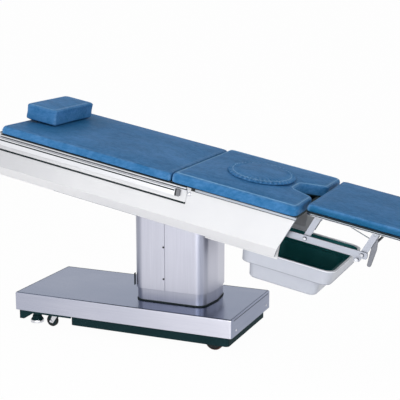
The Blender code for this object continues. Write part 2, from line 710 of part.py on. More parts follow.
def column_pieces(column, mats):
    """Outer cover, head plate, tilt bearings, tilt drive and lift rod that rise together."""
    column_half("column_cover_foot", column, mats, 1)
    column_half("column_cover_head", column, mats, -1)
    top = SHAFT_HEIGHT - HEAD_DROP
    bm = bmesh.new()
    prism(bm, column_outline(COLUMN_SHEET + SEAT_GAP), "Z", top - HEAD_PLATE, top)
    head = add("column_head", bm, column, mats["dark"])
    blocks = bmesh.new()
    holes = bmesh.new()
    half = BEARING_LENGTH / 2
    arch = [(COLUMN_X - half, top - WELD), (COLUMN_X + half, top - WELD),
            (COLUMN_X + half * 0.8, SHAFT_HEIGHT + half * 0.9),
            (COLUMN_X - half * 0.8, SHAFT_HEIGHT + half * 0.9)]
    arch = filleted(arch, [0, 0, half * 0.5, half * 0.5])
    hole = circle((COLUMN_X, SHAFT_HEIGHT), SHAFT_RADIUS + SEAT_GAP, 24)
    for _, side in SIDES:
        ends = [side * BEARING_SPREAD + way * BEARING_WIDTH / 2 for way in (-1, 1)]
        prism(blocks, arch, "Y", *ends)
        prism(holes, hole, "Y", ends[0] - SIDE_GAP, ends[1] + SIDE_GAP)
    combine(head, blocks, column, "UNION")
    combine(head, holes, column, "DIFFERENCE")

    half = GEARBOX_LENGTH / 2
    wide = GEARBOX_WIDTH / 2
    case = rectangle(COLUMN_X - half, COLUMN_X + half, top + SEAT_GAP, SHAFT_HEIGHT + half * 0.8)
    bm = bmesh.new()
    prism(bm, filleted(case, [0, 0, half * 0.6, half * 0.6]), "Y", -wide, wide)
    gearbox = add("tilt_gearbox", bm, column, mats["dark"])
    bm = bmesh.new()
    prism(bm, hole, "Y", -wide - SIDE_GAP, wide + SIDE_GAP)
    combine(gearbox, bm, column, "DIFFERENCE")
    bm = bmesh.new()
    start = COLUMN_X - half - SEAT_GAP
    turned(bm, [(MOTOR_RADIUS * 0.8, start), (MOTOR_RADIUS, start - MOTOR_LENGTH * 0.15),
                (MOTOR_RADIUS, start - MOTOR_LENGTH * 0.85), (MOTOR_RADIUS * 0.7, start - MOTOR_LENGTH)],
           (0, SHAFT_HEIGHT - MOTOR_DROP), "X", 20)
    add("tilt_motor", bm, column, mats["black"], smooth=True)

    bm = bmesh.new()
    turned(bm, [(ROD_RADIUS, ROD_END), (ROD_RADIUS, top - HEAD_PLATE - SEAT_GAP)], (COLUMN_X, 0))
    add("lift_rod", bm, column, mats["chrome"], smooth=True)


def side_cover(name, side, table, mats):
    """Folded side panel with an inward flange and a slanted foot end."""
    wall = COVER_HALF_WIDTH
    thin = COVER_SHEET
    tuck = wall - COVER_FLANGE
    rise = COVER_FLANGE - 2 * thin
    section = [(wall, COVER_TOP), (wall, -COVER_WALL_DEPTH), (tuck, COVER_FLOOR), (tuck, LIP_TOP),
               (tuck + thin, LIP_TOP), (tuck + thin, COVER_FOLD - rise), (wall - thin, COVER_FOLD),
               (wall - thin, COVER_TOP)]
    slope = tan(radians(COVER_SLANT))
    head = [(COVER_HEAD_X, side * y, z) for y, z in section]
    foot = [(COVER_FOOT_X - slope * (COVER_TOP - z), side * y, z) for y, z in section]
    bm = bmesh.new()
    loft(bm, [head, foot])
    add(name, bm, table, mats["white"])


def frame_beam(name, side, table, mats):
    """Tube beam with its cover brackets, and the inward channel that a leg bar slides in."""
    inner, outer = sorted((side * BEAM_SPREAD, side * (BEAM_SPREAD + BEAM_WIDTH)))
    tube = rectangle(inner, outer, BEAM_BOTTOM, BEAM_TOP)
    bore = rectangle(inner + BEAM_WALL, outer - BEAM_WALL, BEAM_BOTTOM + BEAM_WALL, BEAM_TOP - BEAM_WALL)
    bm = bmesh.new()
    loft(bm, [at_level(tube, BEAM_HEAD_X, "X"), at_level(tube, BEAM_FOOT_X, "X"),
              at_level(bore, BEAM_FOOT_X, "X"), at_level(bore, BEAM_HEAD_X, "X")], closed=True)
    beam = add(name, bm, table, mats["dark"])

    bm = bmesh.new()
    web = BAR_HALF_WIDTH + RUNNING_GAP
    lip = BAR_INNER - GUIDE_LIP
    floor = BAR_BOTTOM - RUNNING_GAP
    section = [(web + GUIDE_WALL, BEAM_BOTTOM + WELD), (web, BEAM_BOTTOM + WELD), (web, floor), (lip, floor),
               (lip, floor - GUIDE_WALL), (web + GUIDE_WALL, floor - GUIDE_WALL)]
    prism(bm, [(side * y, z) for y, z in section], "X", GUIDE_HEAD_X, BEAM_FOOT_X - SIDE_GAP)
    combine(beam, bm, table, "UNION")

    bm = bmesh.new()
    near, far = sorted((side * (BEAM_SPREAD + BEAM_WIDTH - WELD), side * (COVER_INNER - SEAT_GAP)))
    half = BRACKET_LENGTH / 2
    low = BEAM_BOTTOM + BEAM_HEIGHT / 4
    for place in BRACKET_PLACES:
        box(bm, (place - half, near, low), (place + half, far, low + BRACKET_HEIGHT))
    combine(beam, bm, table, "UNION")


def table_pieces(table, mats):
    """Tilt shaft, frame and covers."""
    reach = BEAM_SPREAD - SEAT_GAP
    bm = bmesh.new()
    turned(bm, [(FLANGE_RADIUS, -reach), (FLANGE_RADIUS, FLANGE_THICKNESS - reach),
                (SHAFT_RADIUS, FLANGE_THICKNESS - reach), (SHAFT_RADIUS, reach - FLANGE_THICKNESS),
                (FLANGE_RADIUS, reach - FLANGE_THICKNESS), (FLANGE_RADIUS, reach)], (0, 0), "Y")
    add("tilt_shaft", bm, table, mats["chrome"], smooth=True)

    for name, side in SIDES:
        frame_beam("frame_beam_" + name, side, table, mats)
    half = CROSS_WIDTH / 2
    crosses = {"head": HEAD_CROSS_X, "back": BACK_CROSS_X, "seat": SEAT_CROSS_X, "foot": FOOT_CROSS_X}
    for name, place in crosses.items():
        bm = bmesh.new()
        box(bm, (place - half, -reach, BEAM_BOTTOM), (place + half, reach, BEAM_BOTTOM + CROSS_HEIGHT))
        add(name + "_cross_member", bm, table, mats["dark"])

    for name, side in SIDES:
        side_cover("side_cover_" + name, side, table, mats)
    wide = COVER_INNER - SEAT_GAP
    floor = LIP_TOP + SEAT_GAP
    tuck = wide - (COVER_FOLD - floor)
    bm = bmesh.new()
    panel = [(-wide, COVER_FOLD), (-tuck, floor), (tuck, floor), (wide, COVER_FOLD),
             (wide, SKIRT_BOTTOM), (-wide, SKIRT_BOTTOM)]
    prism(bm, panel, "X", COVER_HEAD_X, COVER_HEAD_X + COVER_SHEET)
    add("head_cover", bm, table, mats["white"])


def seat_plan(foot_x, half_width, head_x, notch_set, corner):
    """Seat outline with the tapered cut-out in its foot end."""
    mouth = NOTCH_MOUTH / 2 + notch_set
    floor = NOTCH_FLOOR / 2 + notch_set
    bottom = NOTCH_X - notch_set
    corners = [(head_x, -half_width), (foot_x, -half_width), (foot_x, -mouth), (bottom, -floor),
               (bottom, floor), (foot_x, mouth), (foot_x, half_width), (head_x, half_width)]
    soft = NOTCH_CORNER
    return filleted(corners, [corner, soft, soft, soft, soft, soft, soft, corner])


def hinge_pockets(carrier, cushion_object):
    """Room in a cushion's end for the hinge lugs."""
    bm = bmesh.new()
    tall = HINGE_Z + LUG_RADIUS + POCKET_GAP
    for _, side in SIDES:
        middle = side * (HINGE_SPREAD + LUG_THICKNESS / 2 + SEAT_GAP / 2)
        half = LUG_THICKNESS + SEAT_GAP / 2 + 2 * POCKET_GAP
        low = (SEAM_X - LUG_LENGTH - POCKET_GAP, middle - half, CUSHION_BOTTOM - LUG_RADIUS)
        box(bm, low, (SEAM_X + LUG_LENGTH + POCKET_GAP, middle + half, tall))
    combine(cushion_object, bm, carrier, "DIFFERENCE")


def lug_outline(toward):
    """Side view of a hinge lug that rises from a deck to the hinge axis."""
    end = SEAM_X + toward * LUG_LENGTH
    foot = SEAM_X + toward * (SEAM_WIDTH + LUG_RADIUS)
    level = DECK_TOP - WELD
    nose = SEAM_X - toward * LUG_RADIUS
    corners = [(end, level), (end, DECK_TOP + LUG_RADIUS), (nose, HINGE_Z + LUG_RADIUS),
               (nose, HINGE_Z - LUG_RADIUS), (foot, level)]
    return filleted(corners, [0, 0, LUG_RADIUS * 0.9, LUG_RADIUS * 0.9, 0])


def seat_lugs(deck, table):
    """Hinge lugs with pins on the seat deck, hidden in the cushion seam."""
    lugs = bmesh.new()
    pins = bmesh.new()
    axis = circle((SEAM_X, HINGE_Z), PIN_RADIUS, 16)
    for _, side in SIDES:
        inner = HINGE_SPREAD - LUG_THICKNESS / 2
        start = HINGE_SPREAD + LUG_THICKNESS / 2 + SEAT_GAP
        prism(lugs, lug_outline(1), "Y", side * start, side * (start + LUG_THICKNESS))
        prism(pins, axis, "Y", side * inner, side * (start + LUG_THICKNESS / 2))
    combine(deck, lugs, table, "UNION")
    combine(deck, pins, table, "UNION")


def back_lugs(deck, back):
    """Hinge lugs on the back deck that turn on the seat's pins."""
    lugs = bmesh.new()
    holes = bmesh.new()
    bore = circle((SEAM_X, HINGE_Z), PIN_RADIUS + SEAT_GAP, 16)
    half = LUG_THICKNESS / 2
    for _, side in SIDES:
        middle = side * HINGE_SPREAD
        prism(lugs, lug_outline(-1), "Y", middle - half, middle + half)
        prism(holes, bore, "Y", middle - half - SIDE_GAP, middle + half + SIDE_GAP)
    combine(deck, lugs, back, "UNION")
    combine(deck, holes, back, "DIFFERENCE")


def seat_pieces(table, mats):
    """Seat deck, trims, mattress and raised oval pad."""
    half = CUSHION_WIDTH / 2
    head_x = SEAM_X + SEAM_WIDTH / 2
    deck = seat_plan(SEAT_FOOT_X - SEAT_DECK_SET, COVER_INNER, head_x, NOTCH_DECK_GAP, BASE_CORNER)
    bm = bmesh.new()
    prism(bm, deck, "Z", DECK_BOTTOM, DECK_TOP)
    seat_lugs(add("seat_deck", bm, table, mats["dark"]), table)

    trim = COVER_HALF_WIDTH + SEAT_GAP
    for name, side in SIDES:
        near, far = sorted((side * trim, side * (trim + TRIM_THICKNESS)))
        bm = bmesh.new()
        box(bm, (TRIM_X, near, DECK_TOP - TRIM_HEIGHT), (SEAT_FOOT_X, far, DECK_TOP))
        add("seat_trim_" + name, bm, table, mats["chrome"])

    plan = seat_plan(SEAT_FOOT_X, half, head_x, 0, CUSHION_CORNER)
    seat = cushion("seat_mattress", plan, CUSHION_BOTTOM, SEAT_TOP, CUSHION_EDGE, CUSHION_CROWN,
                   CUSHION_EDGE * 3, table, mats["vinyl"])
    hinge_pockets(table, seat)

    long = PAD_LENGTH / 2
    oval = [Vector((PAD_FOOT_X - long + long * u, PAD_WIDTH / 2 * v)) for u, v in circle((0, 0), 1, 40)]
    low = SEAT_TOP + CUSHION_CROWN + SEAT_GAP
    cushion("seat_pad", oval, low, low + PAD_HEIGHT, PAD_EDGE, PAD_CROWN, PAD_WIDTH / 3, table, mats["vinyl"])


def back_rail(name, side, back, mats):
    """Accessory rail on spacers that stand off the back skirt."""
    low = RAIL_TOP - RAIL_HEIGHT
    bar = filleted(rectangle(RAIL_HEAD_X, RAIL_TAIL_X, low, RAIL_TOP), RAIL_CORNER, 2)
    bm = bmesh.new()
    prism(bm, bar, "Y", side * RAIL_INNER, side * (RAIL_INNER + RAIL_THICKNESS))
    rail = add(name, bm, back, mats["chrome"])
    near, far = sorted((side * (SKIRT_OUTER + SEAT_GAP), side * (RAIL_INNER + WELD)))
    half = SPACER_LENGTH / 2
    bm = bmesh.new()
    first, last = RAIL_HEAD_X + SPACER_SET, RAIL_TAIL_X - SPACER_SET
    for place in (first, (first + last) / 2, last):
        box(bm, (place - half, near, low - SPACER_DROP), (place + half, far, low + SPACER_HEIGHT))
    combine(rail, bm, back, "UNION")


def back_pieces(back, mats):
    """Hinged back section: deck, skirts, accessory rails, mattress and pillow."""
    end = SEAM_X - SEAM_WIDTH / 2
    wide = SKIRT_INNER - SEAT_GAP
    bm = bmesh.new()
    plan = filleted(rectangle(SKIRT_HEAD_X, end, -wide, wide), BASE_CORNER, 3)
    prism(bm, plan, "Z", DECK_BOTTOM, DECK_TOP)
    back_lugs(add("back_deck", bm, back, mats["dark"]), back)

    panel = filleted(rectangle(SKIRT_HEAD_X, SKIRT_TAIL_X, SKIRT_BOTTOM, DECK_TOP), SKIRT_CORNER, 2)
    for name, side in SIDES:
        bm = bmesh.new()
        prism(bm, panel, "Y", side * SKIRT_INNER, side * SKIRT_OUTER)
        add("back_skirt_" + name, bm, back, mats["white"])
        back_rail("back_rail_" + name, side, back, mats)

    half = CUSHION_WIDTH / 2
    plan = filleted(rectangle(BACK_HEAD_X, end, -half, half), CUSHION_CORNER)
    mattress = cushion("back_mattress", plan, CUSHION_BOTTOM, BACK_TOP, CUSHION_EDGE, CUSHION_CROWN,
                       CUSHION_REACH, back, mats["vinyl"])
    hinge_pockets(back, mattress)

    head = BACK_HEAD_X + PILLOW_FROM_HEAD
    half = PILLOW_WIDTH / 2
    low_y, high_y = PILLOW_SHIFT - half, PILLOW_SHIFT + half
    plan = filleted(rectangle(head, head + PILLOW_LENGTH, low_y, high_y), PILLOW_CORNER)
    low = BACK_TOP + CUSHION_CROWN + SEAT_GAP
    cushion("pillow", plan, low, low + PILLOW_HEIGHT, PILLOW_CORNER * 0.6, CUSHION_CROWN,
            PILLOW_LENGTH / 2, back, mats["vinyl"])


def pivot_bolts(bar, side, carriage):
    """Bolts through a leg bar that the links turn on."""
    face = BAR_HALF_WIDTH
    bm = bmesh.new()
    for place in (REAR_PIVOT_X, FRONT_PIVOT_X):
        head = [(BOLT_HEAD_RADIUS, side * (face - WELD)), (BOLT_HEAD_RADIUS, side * (face + BOLT_HEAD * 0.6)),
                (BOLT_HEAD_RADIUS * 0.7, side * (face + BOLT_HEAD))]
        turned(bm, head, (place, PIVOT_Z), "Y", 16)
        shank = [(BOLT_RADIUS, side * (BAR_INNER + WELD)), (BOLT_RADIUS, side * LINK_INNER)]
        turned(bm, shank, (place, PIVOT_Z), "Y", 16)
    combine(bar, bm, carriage, "UNION")


def carriage_pieces(carriage, mats):
    """Sliding leg bars with their tie, pivot bolts and lock knobs."""
    nose = BAR_HEIGHT * 0.3
    tab = BAR_BOTTOM - KNOB_TAB
    half = KNOB_TAB * 0.7
    outline = [(BAR_HEAD_X, BAR_BOTTOM), (KNOB_X - half * 1.5, BAR_BOTTOM), (KNOB_X - half, tab),
               (KNOB_X + half, tab), (KNOB_X + half * 1.5, BAR_BOTTOM), (BAR_FOOT_X, BAR_BOTTOM),
               (BAR_FOOT_X, BAR_TOP), (BAR_HEAD_X, BAR_TOP)]
    outline = filleted(outline, [0, 0, half * 0.6, half * 0.6, 0, nose, nose, 0], 3)
    for name, side in SIDES:
        bm = bmesh.new()
        prism(bm, outline, "Y", side * BAR_INNER, side * BAR_HALF_WIDTH)
        pivot_bolts(add("leg_bar_" + name, bm, carriage, mats["aluminium"]), side, carriage)

    bm = bmesh.new()
    half = TIE_LENGTH / 2
    wide = BAR_INNER - SEAT_GAP
    tall = BAR_HEIGHT * 0.4
    box(bm, (TIE_X - half, -wide, PIVOT_Z - tall), (TIE_X + half, wide, PIVOT_Z + tall))
    add("carriage_tie", bm, carriage, mats["aluminium"])

    level = BAR_BOTTOM - KNOB_TAB / 2
    for name, side in SIDES:
        knob = Carrier("knob_axis_" + name, carriage, (KNOB_X, side * BAR_HALF_WIDTH, level))
        face = BAR_HALF_WIDTH + SEAT_GAP
        bm = bmesh.new()
        neck = KNOB_RADIUS * 0.6
        profile = [(neck, 0), (neck, KNOB_LENGTH * 0.4), (KNOB_RADIUS, KNOB_LENGTH * 0.5),
                   (KNOB_RADIUS, KNOB_LENGTH)]
        turned(bm, [(r, side * (face + out)) for r, out in profile], (KNOB_X, level), "Y", 16)
        add("lock_knob_" + name, bm, knob, mats["chrome"], smooth=True)


def link_pair(name, foot_x, carrier, mats):
    """Two leaning link plates with a bore at each end."""
    foot = Vector((foot_x, PIVOT_Z))
    along = Vector((LINK_RUN, LINK_RISE)).normalized()
    across = Vector((along.y, -along.x)) * LINK_WIDTH / 2
    end = foot + along * LINK_LENGTH
    over = along * LINK_WIDTH / 2
    corners = [foot - over - across, foot - over + across, end + over + across, end + over - across]
    outline = filleted(corners, LINK_WIDTH * 0.42)
    for side_name, side in SIDES:
        bm = bmesh.new()
        prism(bm, outline, "Y", side * LINK_INNER, side * LINK_OUTER)
        link = add(name + "_" + side_name, bm, carrier, mats["aluminium"])
        holes = bmesh.new()
        for centre in (foot, end):
            bore = circle(centre, BOLT_RADIUS + SEAT_GAP, 16)
            prism(holes, bore, "Y", side * (LINK_INNER - SIDE_GAP / 2), side * (LINK_OUTER + SIDE_GAP / 2))
        combine(link, holes, carrier, "DIFFERENCE")


def leg_pieces(leg, mats):
    """Leg frame with pivot lugs, and its mattress."""
    half = LEG_WIDTH / 2
    end = LEG_HEAD_X + LEG_LENGTH
    outer = filleted(rectangle(LEG_HEAD_X, end, -half, half), LEG_CORNER)
    inner = inset(outer, LEG_SHEET)
    bottom = LEG_DECK_TOP - LEG_FRAME_DEPTH
    bm = bmesh.new()
    loft(bm, [at_level(inner, LEG_DECK_BOTTOM), at_level(inner, bottom),
              at_level(outer, bottom), at_level(outer, LEG_DECK_TOP)])
    frame = add("leg_frame", bm, leg, mats["aluminium"])

    lugs = bmesh.new()
    pins = bmesh.new()
    radius = LUG_WIDTH / 2
    for foot_x in (REAR_PIVOT_X, FRONT_PIVOT_X):
        x = foot_x + LINK_RUN
        top = LEG_DECK_BOTTOM + WELD
        low = LEG_PIVOT_Z - radius
        lug = filleted(rectangle(x - radius, x + radius, low, top), [radius * 0.8, radius * 0.8, 0, 0])
        for _, side in SIDES:
            prism(lugs, lug, "Y", side * (LUG_OUTER - LUG_THICKNESS), side * LUG_OUTER)
            axis = circle((x, LEG_PIVOT_Z), BOLT_RADIUS, 16)
            prism(pins, axis, "Y", side * (LUG_OUTER - LUG_THICKNESS / 2), side * LINK_OUTER)
    combine(frame, lugs, leg, "UNION")
    combine(frame, pins, leg, "UNION")

    plan = filleted(rectangle(LEG_HEAD_X, end, -half, half), CUSHION_CORNER)
    cushion("leg_mattress", plan, LEG_CUSHION_BOTTOM, LEG_CUSHION_BOTTOM + LEG_CUSHION, LEG_EDGE,
            CUSHION_CROWN, CUSHION_REACH, leg, mats["vinyl"])


def handle_pieces(handle, latch, mats):
    """Release handle on the front leg pivots, and the latch rods that it pulls."""
    top = Vector((FRONT_PIVOT_X + LINK_RUN, LEG_PIVOT_Z))
    along = Vector((sin(radians(HANDLE_LEAN)), -cos(radians(HANDLE_LEAN))))
    across = Vector((-along.y, along.x)) * HANDLE_WIDTH / 2
    over = along * HANDLE_WIDTH / 2
    grip = top + along * HANDLE_LENGTH * 0.45
    tip = top + Vector((0, along.y * HANDLE_LENGTH))
    slim = across * 0.7
    corners = [top - over - across, grip - across, tip - slim, tip + slim, grip + across,
               top - over + across]
    radius = HANDLE_WIDTH * 0.3
    outline = filleted(corners, [radius, 0, radius, radius, 0, radius])
    bar = top + along * HANDLE_ROD_DROP
    bm = bmesh.new()
    holes = bmesh.new()
    tube = bmesh.new()
    for _, side in SIDES:
        prism(bm, outline, "Y", side * HANDLE_INNER, side * HANDLE_OUTER)
        bore = circle(top, BOLT_RADIUS + SEAT_GAP, 16)
        prism(holes, bore, "Y", side * (HANDLE_INNER - SIDE_GAP / 2), side * (HANDLE_OUTER + SIDE_GAP / 2))
    reach = HANDLE_INNER + HANDLE_THICKNESS / 2
    rod(tube, (bar.x, -reach, bar.y), (bar.x, reach, bar.y), HANDLE_ROD_RADIUS)
    release = add("release_handle", bm, handle, mats["aluminium"])
    combine(release, holes, handle, "DIFFERENCE")
    combine(release, tube, handle, "UNION")

    start = Vector((LATCH_X, LEG_DECK_BOTTOM - LATCH_RADIUS - SEAT_GAP))
    gap = HANDLE_ROD_RADIUS + LATCH_RADIUS + RUNNING_GAP
    stop = bar + (start - bar).normalized() * gap
    for name, side in SIDES:
        y = side * (LUG_OUTER - LUG_THICKNESS - LATCH_INSET)
        bm = bmesh.new()
        rod(bm, (start.x, y, start.y), (stop.x, y, stop.y), LATCH_RADIUS, 8)
        add("latch_rod_" + name, bm, latch, mats["chrome"], smooth=True)


def basin_pieces(basin, table, mats):
    """Two tier basin with a rolled rim, and the hung runners that carry it."""
    half = BASIN_WIDTH / 2
    foot_x = BASIN_HEAD_X + BASIN_LENGTH

    def ring(inward, level, lower=0):
        head = BASIN_HEAD_X + inward + lower * BASIN_HEAD_SET
        foot = foot_x - inward - lower * BASIN_FOOT_SET
        corners = rectangle(head, foot, inward - half, half - inward)
        return at_level(filleted(corners, BASIN_CORNER - max(inward, 0) * 0.5), level)

    top = BASIN_RIM_TOP
    under = top - BASIN_RIM_THICKNESS
    step = top - BASIN_UPPER_DEPTH
    floor = step - BASIN_LOWER_DEPTH
    wall = BASIN_WALL
    tier = BASIN_DRAFT / 2 + BASIN_STEP
    end = tier + BASIN_DRAFT
    rings = [ring(end + wall, floor + wall, 1), ring(tier + wall, step + wall, 1),
             ring(BASIN_DRAFT / 2 + wall, step + wall), ring(wall, top - wall), ring(wall / 3, top),
             ring(-BASIN_RIM, top), ring(-BASIN_RIM, under), ring(0, under),
             ring(BASIN_DRAFT / 2, step), ring(tier, step, 1),
             ring(end - wall, floor + wall * 2, 1), ring(end + wall, floor, 1)]
    bm = bmesh.new()
    loft(bm, rings)
    add("basin", bm, basin, mats["grey"], smooth=True)

    head = SEAT_CROSS_X - CROSS_WIDTH / 2
    tail = FOOT_CROSS_X + CROSS_WIDTH / 2
    hang = BEAM_BOTTOM - SEAT_GAP
    low = RUNNER_LEDGE - RUNNER_SHEET
    rail = low + RUNNER_RAIL
    strap = CROSS_WIDTH
    profile = [(head, low), (tail, low), (tail, hang), (tail - strap, hang), (tail - strap, rail),
               (head + strap, rail), (head + strap, hang), (head, hang)]
    for name, side in SIDES:
        bm = bmesh.new()
        prism(bm, profile, "Y", side * RUNNER_HALF, side * (RUNNER_HALF + RUNNER_SHEET))
        runner = add("basin_runner_" + name, bm, table, mats["chrome"])
        near, far = sorted((side * (half + RUNNING_GAP), side * (RUNNER_HALF + RUNNER_SHEET / 2)))
        ledge = bmesh.new()
        box(ledge, (head + SIDE_GAP, near, low + SEAT_GAP), (tail - SIDE_GAP, far, RUNNER_LEDGE))
        combine(runner, ledge, table, "UNION")


def centre_on_box(root):
    """Move the whole table so that the middle of its length and width is over the origin."""
    bpy.context.view_layer.update()
    corners = []
    for obj in bpy.data.objects:
        if obj.type == "MESH" and not obj.hide_render:
            corners += [obj.matrix_world @ vert.co for vert in obj.data.vertices]
    lengths = [point.x for point in corners]
    root.empty.location.x -= (min(lengths) + max(lengths)) / 2
    bpy.context.view_layer.update()


def main():
    """Build every body, from the floor up."""
    for obj in list(bpy.data.objects):
        bpy.data.objects.remove(obj, do_unlink=True)
    mats = {
        "steel": finish("brushed_steel", (0.55, 0.56, 0.60), 0.32, 1.0),
        "chrome": finish("bright_steel", (0.70, 0.71, 0.74), 0.20, 1.0),
        "aluminium": finish("satin_aluminium", (0.66, 0.67, 0.70), 0.35, 1.0),
        "white": finish("light_grey_paint", (0.78, 0.78, 0.82), 0.35),
        "dark": finish("dark_frame_paint", (0.02, 0.04, 0.045), 0.5),
        "black": finish("black_plastic", (0.015, 0.015, 0.018), 0.5),
        "rubber": finish("black_rubber", (0.02, 0.02, 0.02), 0.75),
        "vinyl": finish("blue_vinyl", (0.045, 0.15, 0.33), 0.45),
        "grey": finish("grey_basin", (0.56, 0.58, 0.64), 0.35),
    }
    base = Carrier("base_axis")
    column = Carrier("lift_axis", base, (COLUMN_X, 0, 0))
    table = Carrier("tilt_axis", column, location=(0, 0, SHAFT_HEIGHT), turn=REST_TILT)
    back = Carrier("back_axis", table, (SEAM_X, 0, HINGE_Z))
    carriage = Carrier("leg_slide_axis", table)
    rear = Carrier("rear_link_axis", carriage, (REAR_PIVOT_X, 0, PIVOT_Z))
    front = Carrier("front_link_axis", carriage, (FRONT_PIVOT_X, 0, PIVOT_Z))
    leg = Carrier("leg_axis", rear, (REAR_PIVOT_X + LINK_RUN, 0, LEG_PIVOT_Z))
    handle = Carrier("handle_axis", leg, (FRONT_PIVOT_X + LINK_RUN, 0, LEG_PIVOT_Z))
    latch = Carrier("latch_axis", leg, (LATCH_X, 0, LEG_PIVOT_Z))
    basin = Carrier("basin_axis", table, (BASIN_HEAD_X, 0, BASIN_RIM_TOP))
    base_pieces(base, mats)
    levelling_feet(base, mats)
    casters(base, mats)
    column_pieces(column, mats)
    table_pieces(table, mats)
    seat_pieces(table, mats)
    back_pieces(back, mats)
    carriage_pieces(carriage, mats)
    link_pair("rear_link", REAR_PIVOT_X, rear, mats)
    link_pair("front_link", FRONT_PIVOT_X, front, mats)
    leg_pieces(leg, mats)
    handle_pieces(handle, latch, mats)
    basin_pieces(basin, table, mats)
    centre_on_box(base)


main()
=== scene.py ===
"""Looks of a gynaecological operating table: finishes, cushions, trims, fasteners and studio."""
import json
from math import cos, pi, radians, sin

import bmesh
import bpy
import numpy as np
from mathutils import Matrix, Vector
from mathutils.bvhtree import BVHTree


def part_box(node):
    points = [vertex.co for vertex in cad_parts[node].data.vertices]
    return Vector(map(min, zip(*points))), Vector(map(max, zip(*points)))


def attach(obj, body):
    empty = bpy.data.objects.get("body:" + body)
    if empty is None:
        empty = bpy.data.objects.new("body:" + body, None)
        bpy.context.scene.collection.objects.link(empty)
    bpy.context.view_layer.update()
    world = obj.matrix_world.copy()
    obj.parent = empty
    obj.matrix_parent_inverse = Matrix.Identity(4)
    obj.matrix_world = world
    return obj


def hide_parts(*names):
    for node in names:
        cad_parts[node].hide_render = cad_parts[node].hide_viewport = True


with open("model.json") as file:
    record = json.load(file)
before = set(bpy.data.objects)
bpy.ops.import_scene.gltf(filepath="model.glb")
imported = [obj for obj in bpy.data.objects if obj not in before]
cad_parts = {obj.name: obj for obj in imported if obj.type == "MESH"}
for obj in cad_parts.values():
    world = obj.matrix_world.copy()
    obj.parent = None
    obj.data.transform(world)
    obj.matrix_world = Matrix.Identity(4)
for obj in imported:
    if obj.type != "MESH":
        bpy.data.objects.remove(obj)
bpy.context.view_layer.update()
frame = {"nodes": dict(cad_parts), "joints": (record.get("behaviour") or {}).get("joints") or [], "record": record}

BODY_OF = {node: body for body, nodes in frame["record"]["behaviour"]["bodies"].items() for node in nodes}
PIVOT = {joint["name"]: Vector(joint["pos_m"]) for joint in frame["joints"] if joint.get("pos_m")}
TABLE_TILT = radians(10.8)
TABLE = Matrix.Translation(PIVOT["table_tilt"]) @ Matrix.Rotation(TABLE_TILT, 4, "Y")
FLAT = TABLE.inverted()
SIDES = (("right", -1), ("left", 1))
SOFT_ANGLE = 32
OUTLINE_STEP = 0.003
CLOTH_FRAMES = 20
ON_TOP = 0.0002
SUNK = 0.0001
FINISH = {}


class Nodes:
    """A node tree that is written from Python."""

    def __init__(self, tree):
        self.tree = tree
        tree.nodes.clear()

    def node(self, kind, settings=None, sockets=None, output=0):
        """Adds a node, sets it up, gives its sockets values or links, and returns one output."""
        made = self.tree.nodes.new(kind)
        for key, value in (settings or {}).items():
            setattr(made, key, value)
        for key, value in (sockets or {}).items():
            if isinstance(value, Reading):
                self.tree.links.new(value.socket, made.inputs[key])
            else:
                made.inputs[key].default_value = value
        return Reading(self, made.outputs[output])

    def end(self, kind, reading):
        """Closes the tree with its output node."""
        self.tree.links.new(reading.socket, self.tree.nodes.new(kind).inputs[0])


class Reading:
    """What one socket gives; arithmetic on it adds Math nodes."""

    def __init__(self, nodes, socket):
        self.nodes, self.socket = nodes, socket

    def maths(self, operation, first, second=0.0):
        return self.nodes.node("ShaderNodeMath", {"operation": operation}, {0: first, 1: second})

    def __add__(self, other):
        return self.maths("ADD", self, other)

    def __sub__(self, other):
        return self.maths("SUBTRACT", self, other)

    def __rsub__(self, other):
        return self.maths("SUBTRACT", other, self)

    def __mul__(self, other):
        return self.maths("MULTIPLY", self, other)

    def __abs__(self):
        return self.maths("ABSOLUTE", self)

    __radd__, __rmul__ = __add__, __mul__

    def rise(self, low, high):
        """0 below low, 1 above high, and a smooth step between."""
        settings = {"interpolation_type": "SMOOTHSTEP"}
        return self.nodes.node("ShaderNodeMapRange", settings, {0: self, 1: low, 2: high})

    def part(self, output):
        """Another output of the same node."""
        return Reading(self.nodes, self.socket.node.outputs[output])


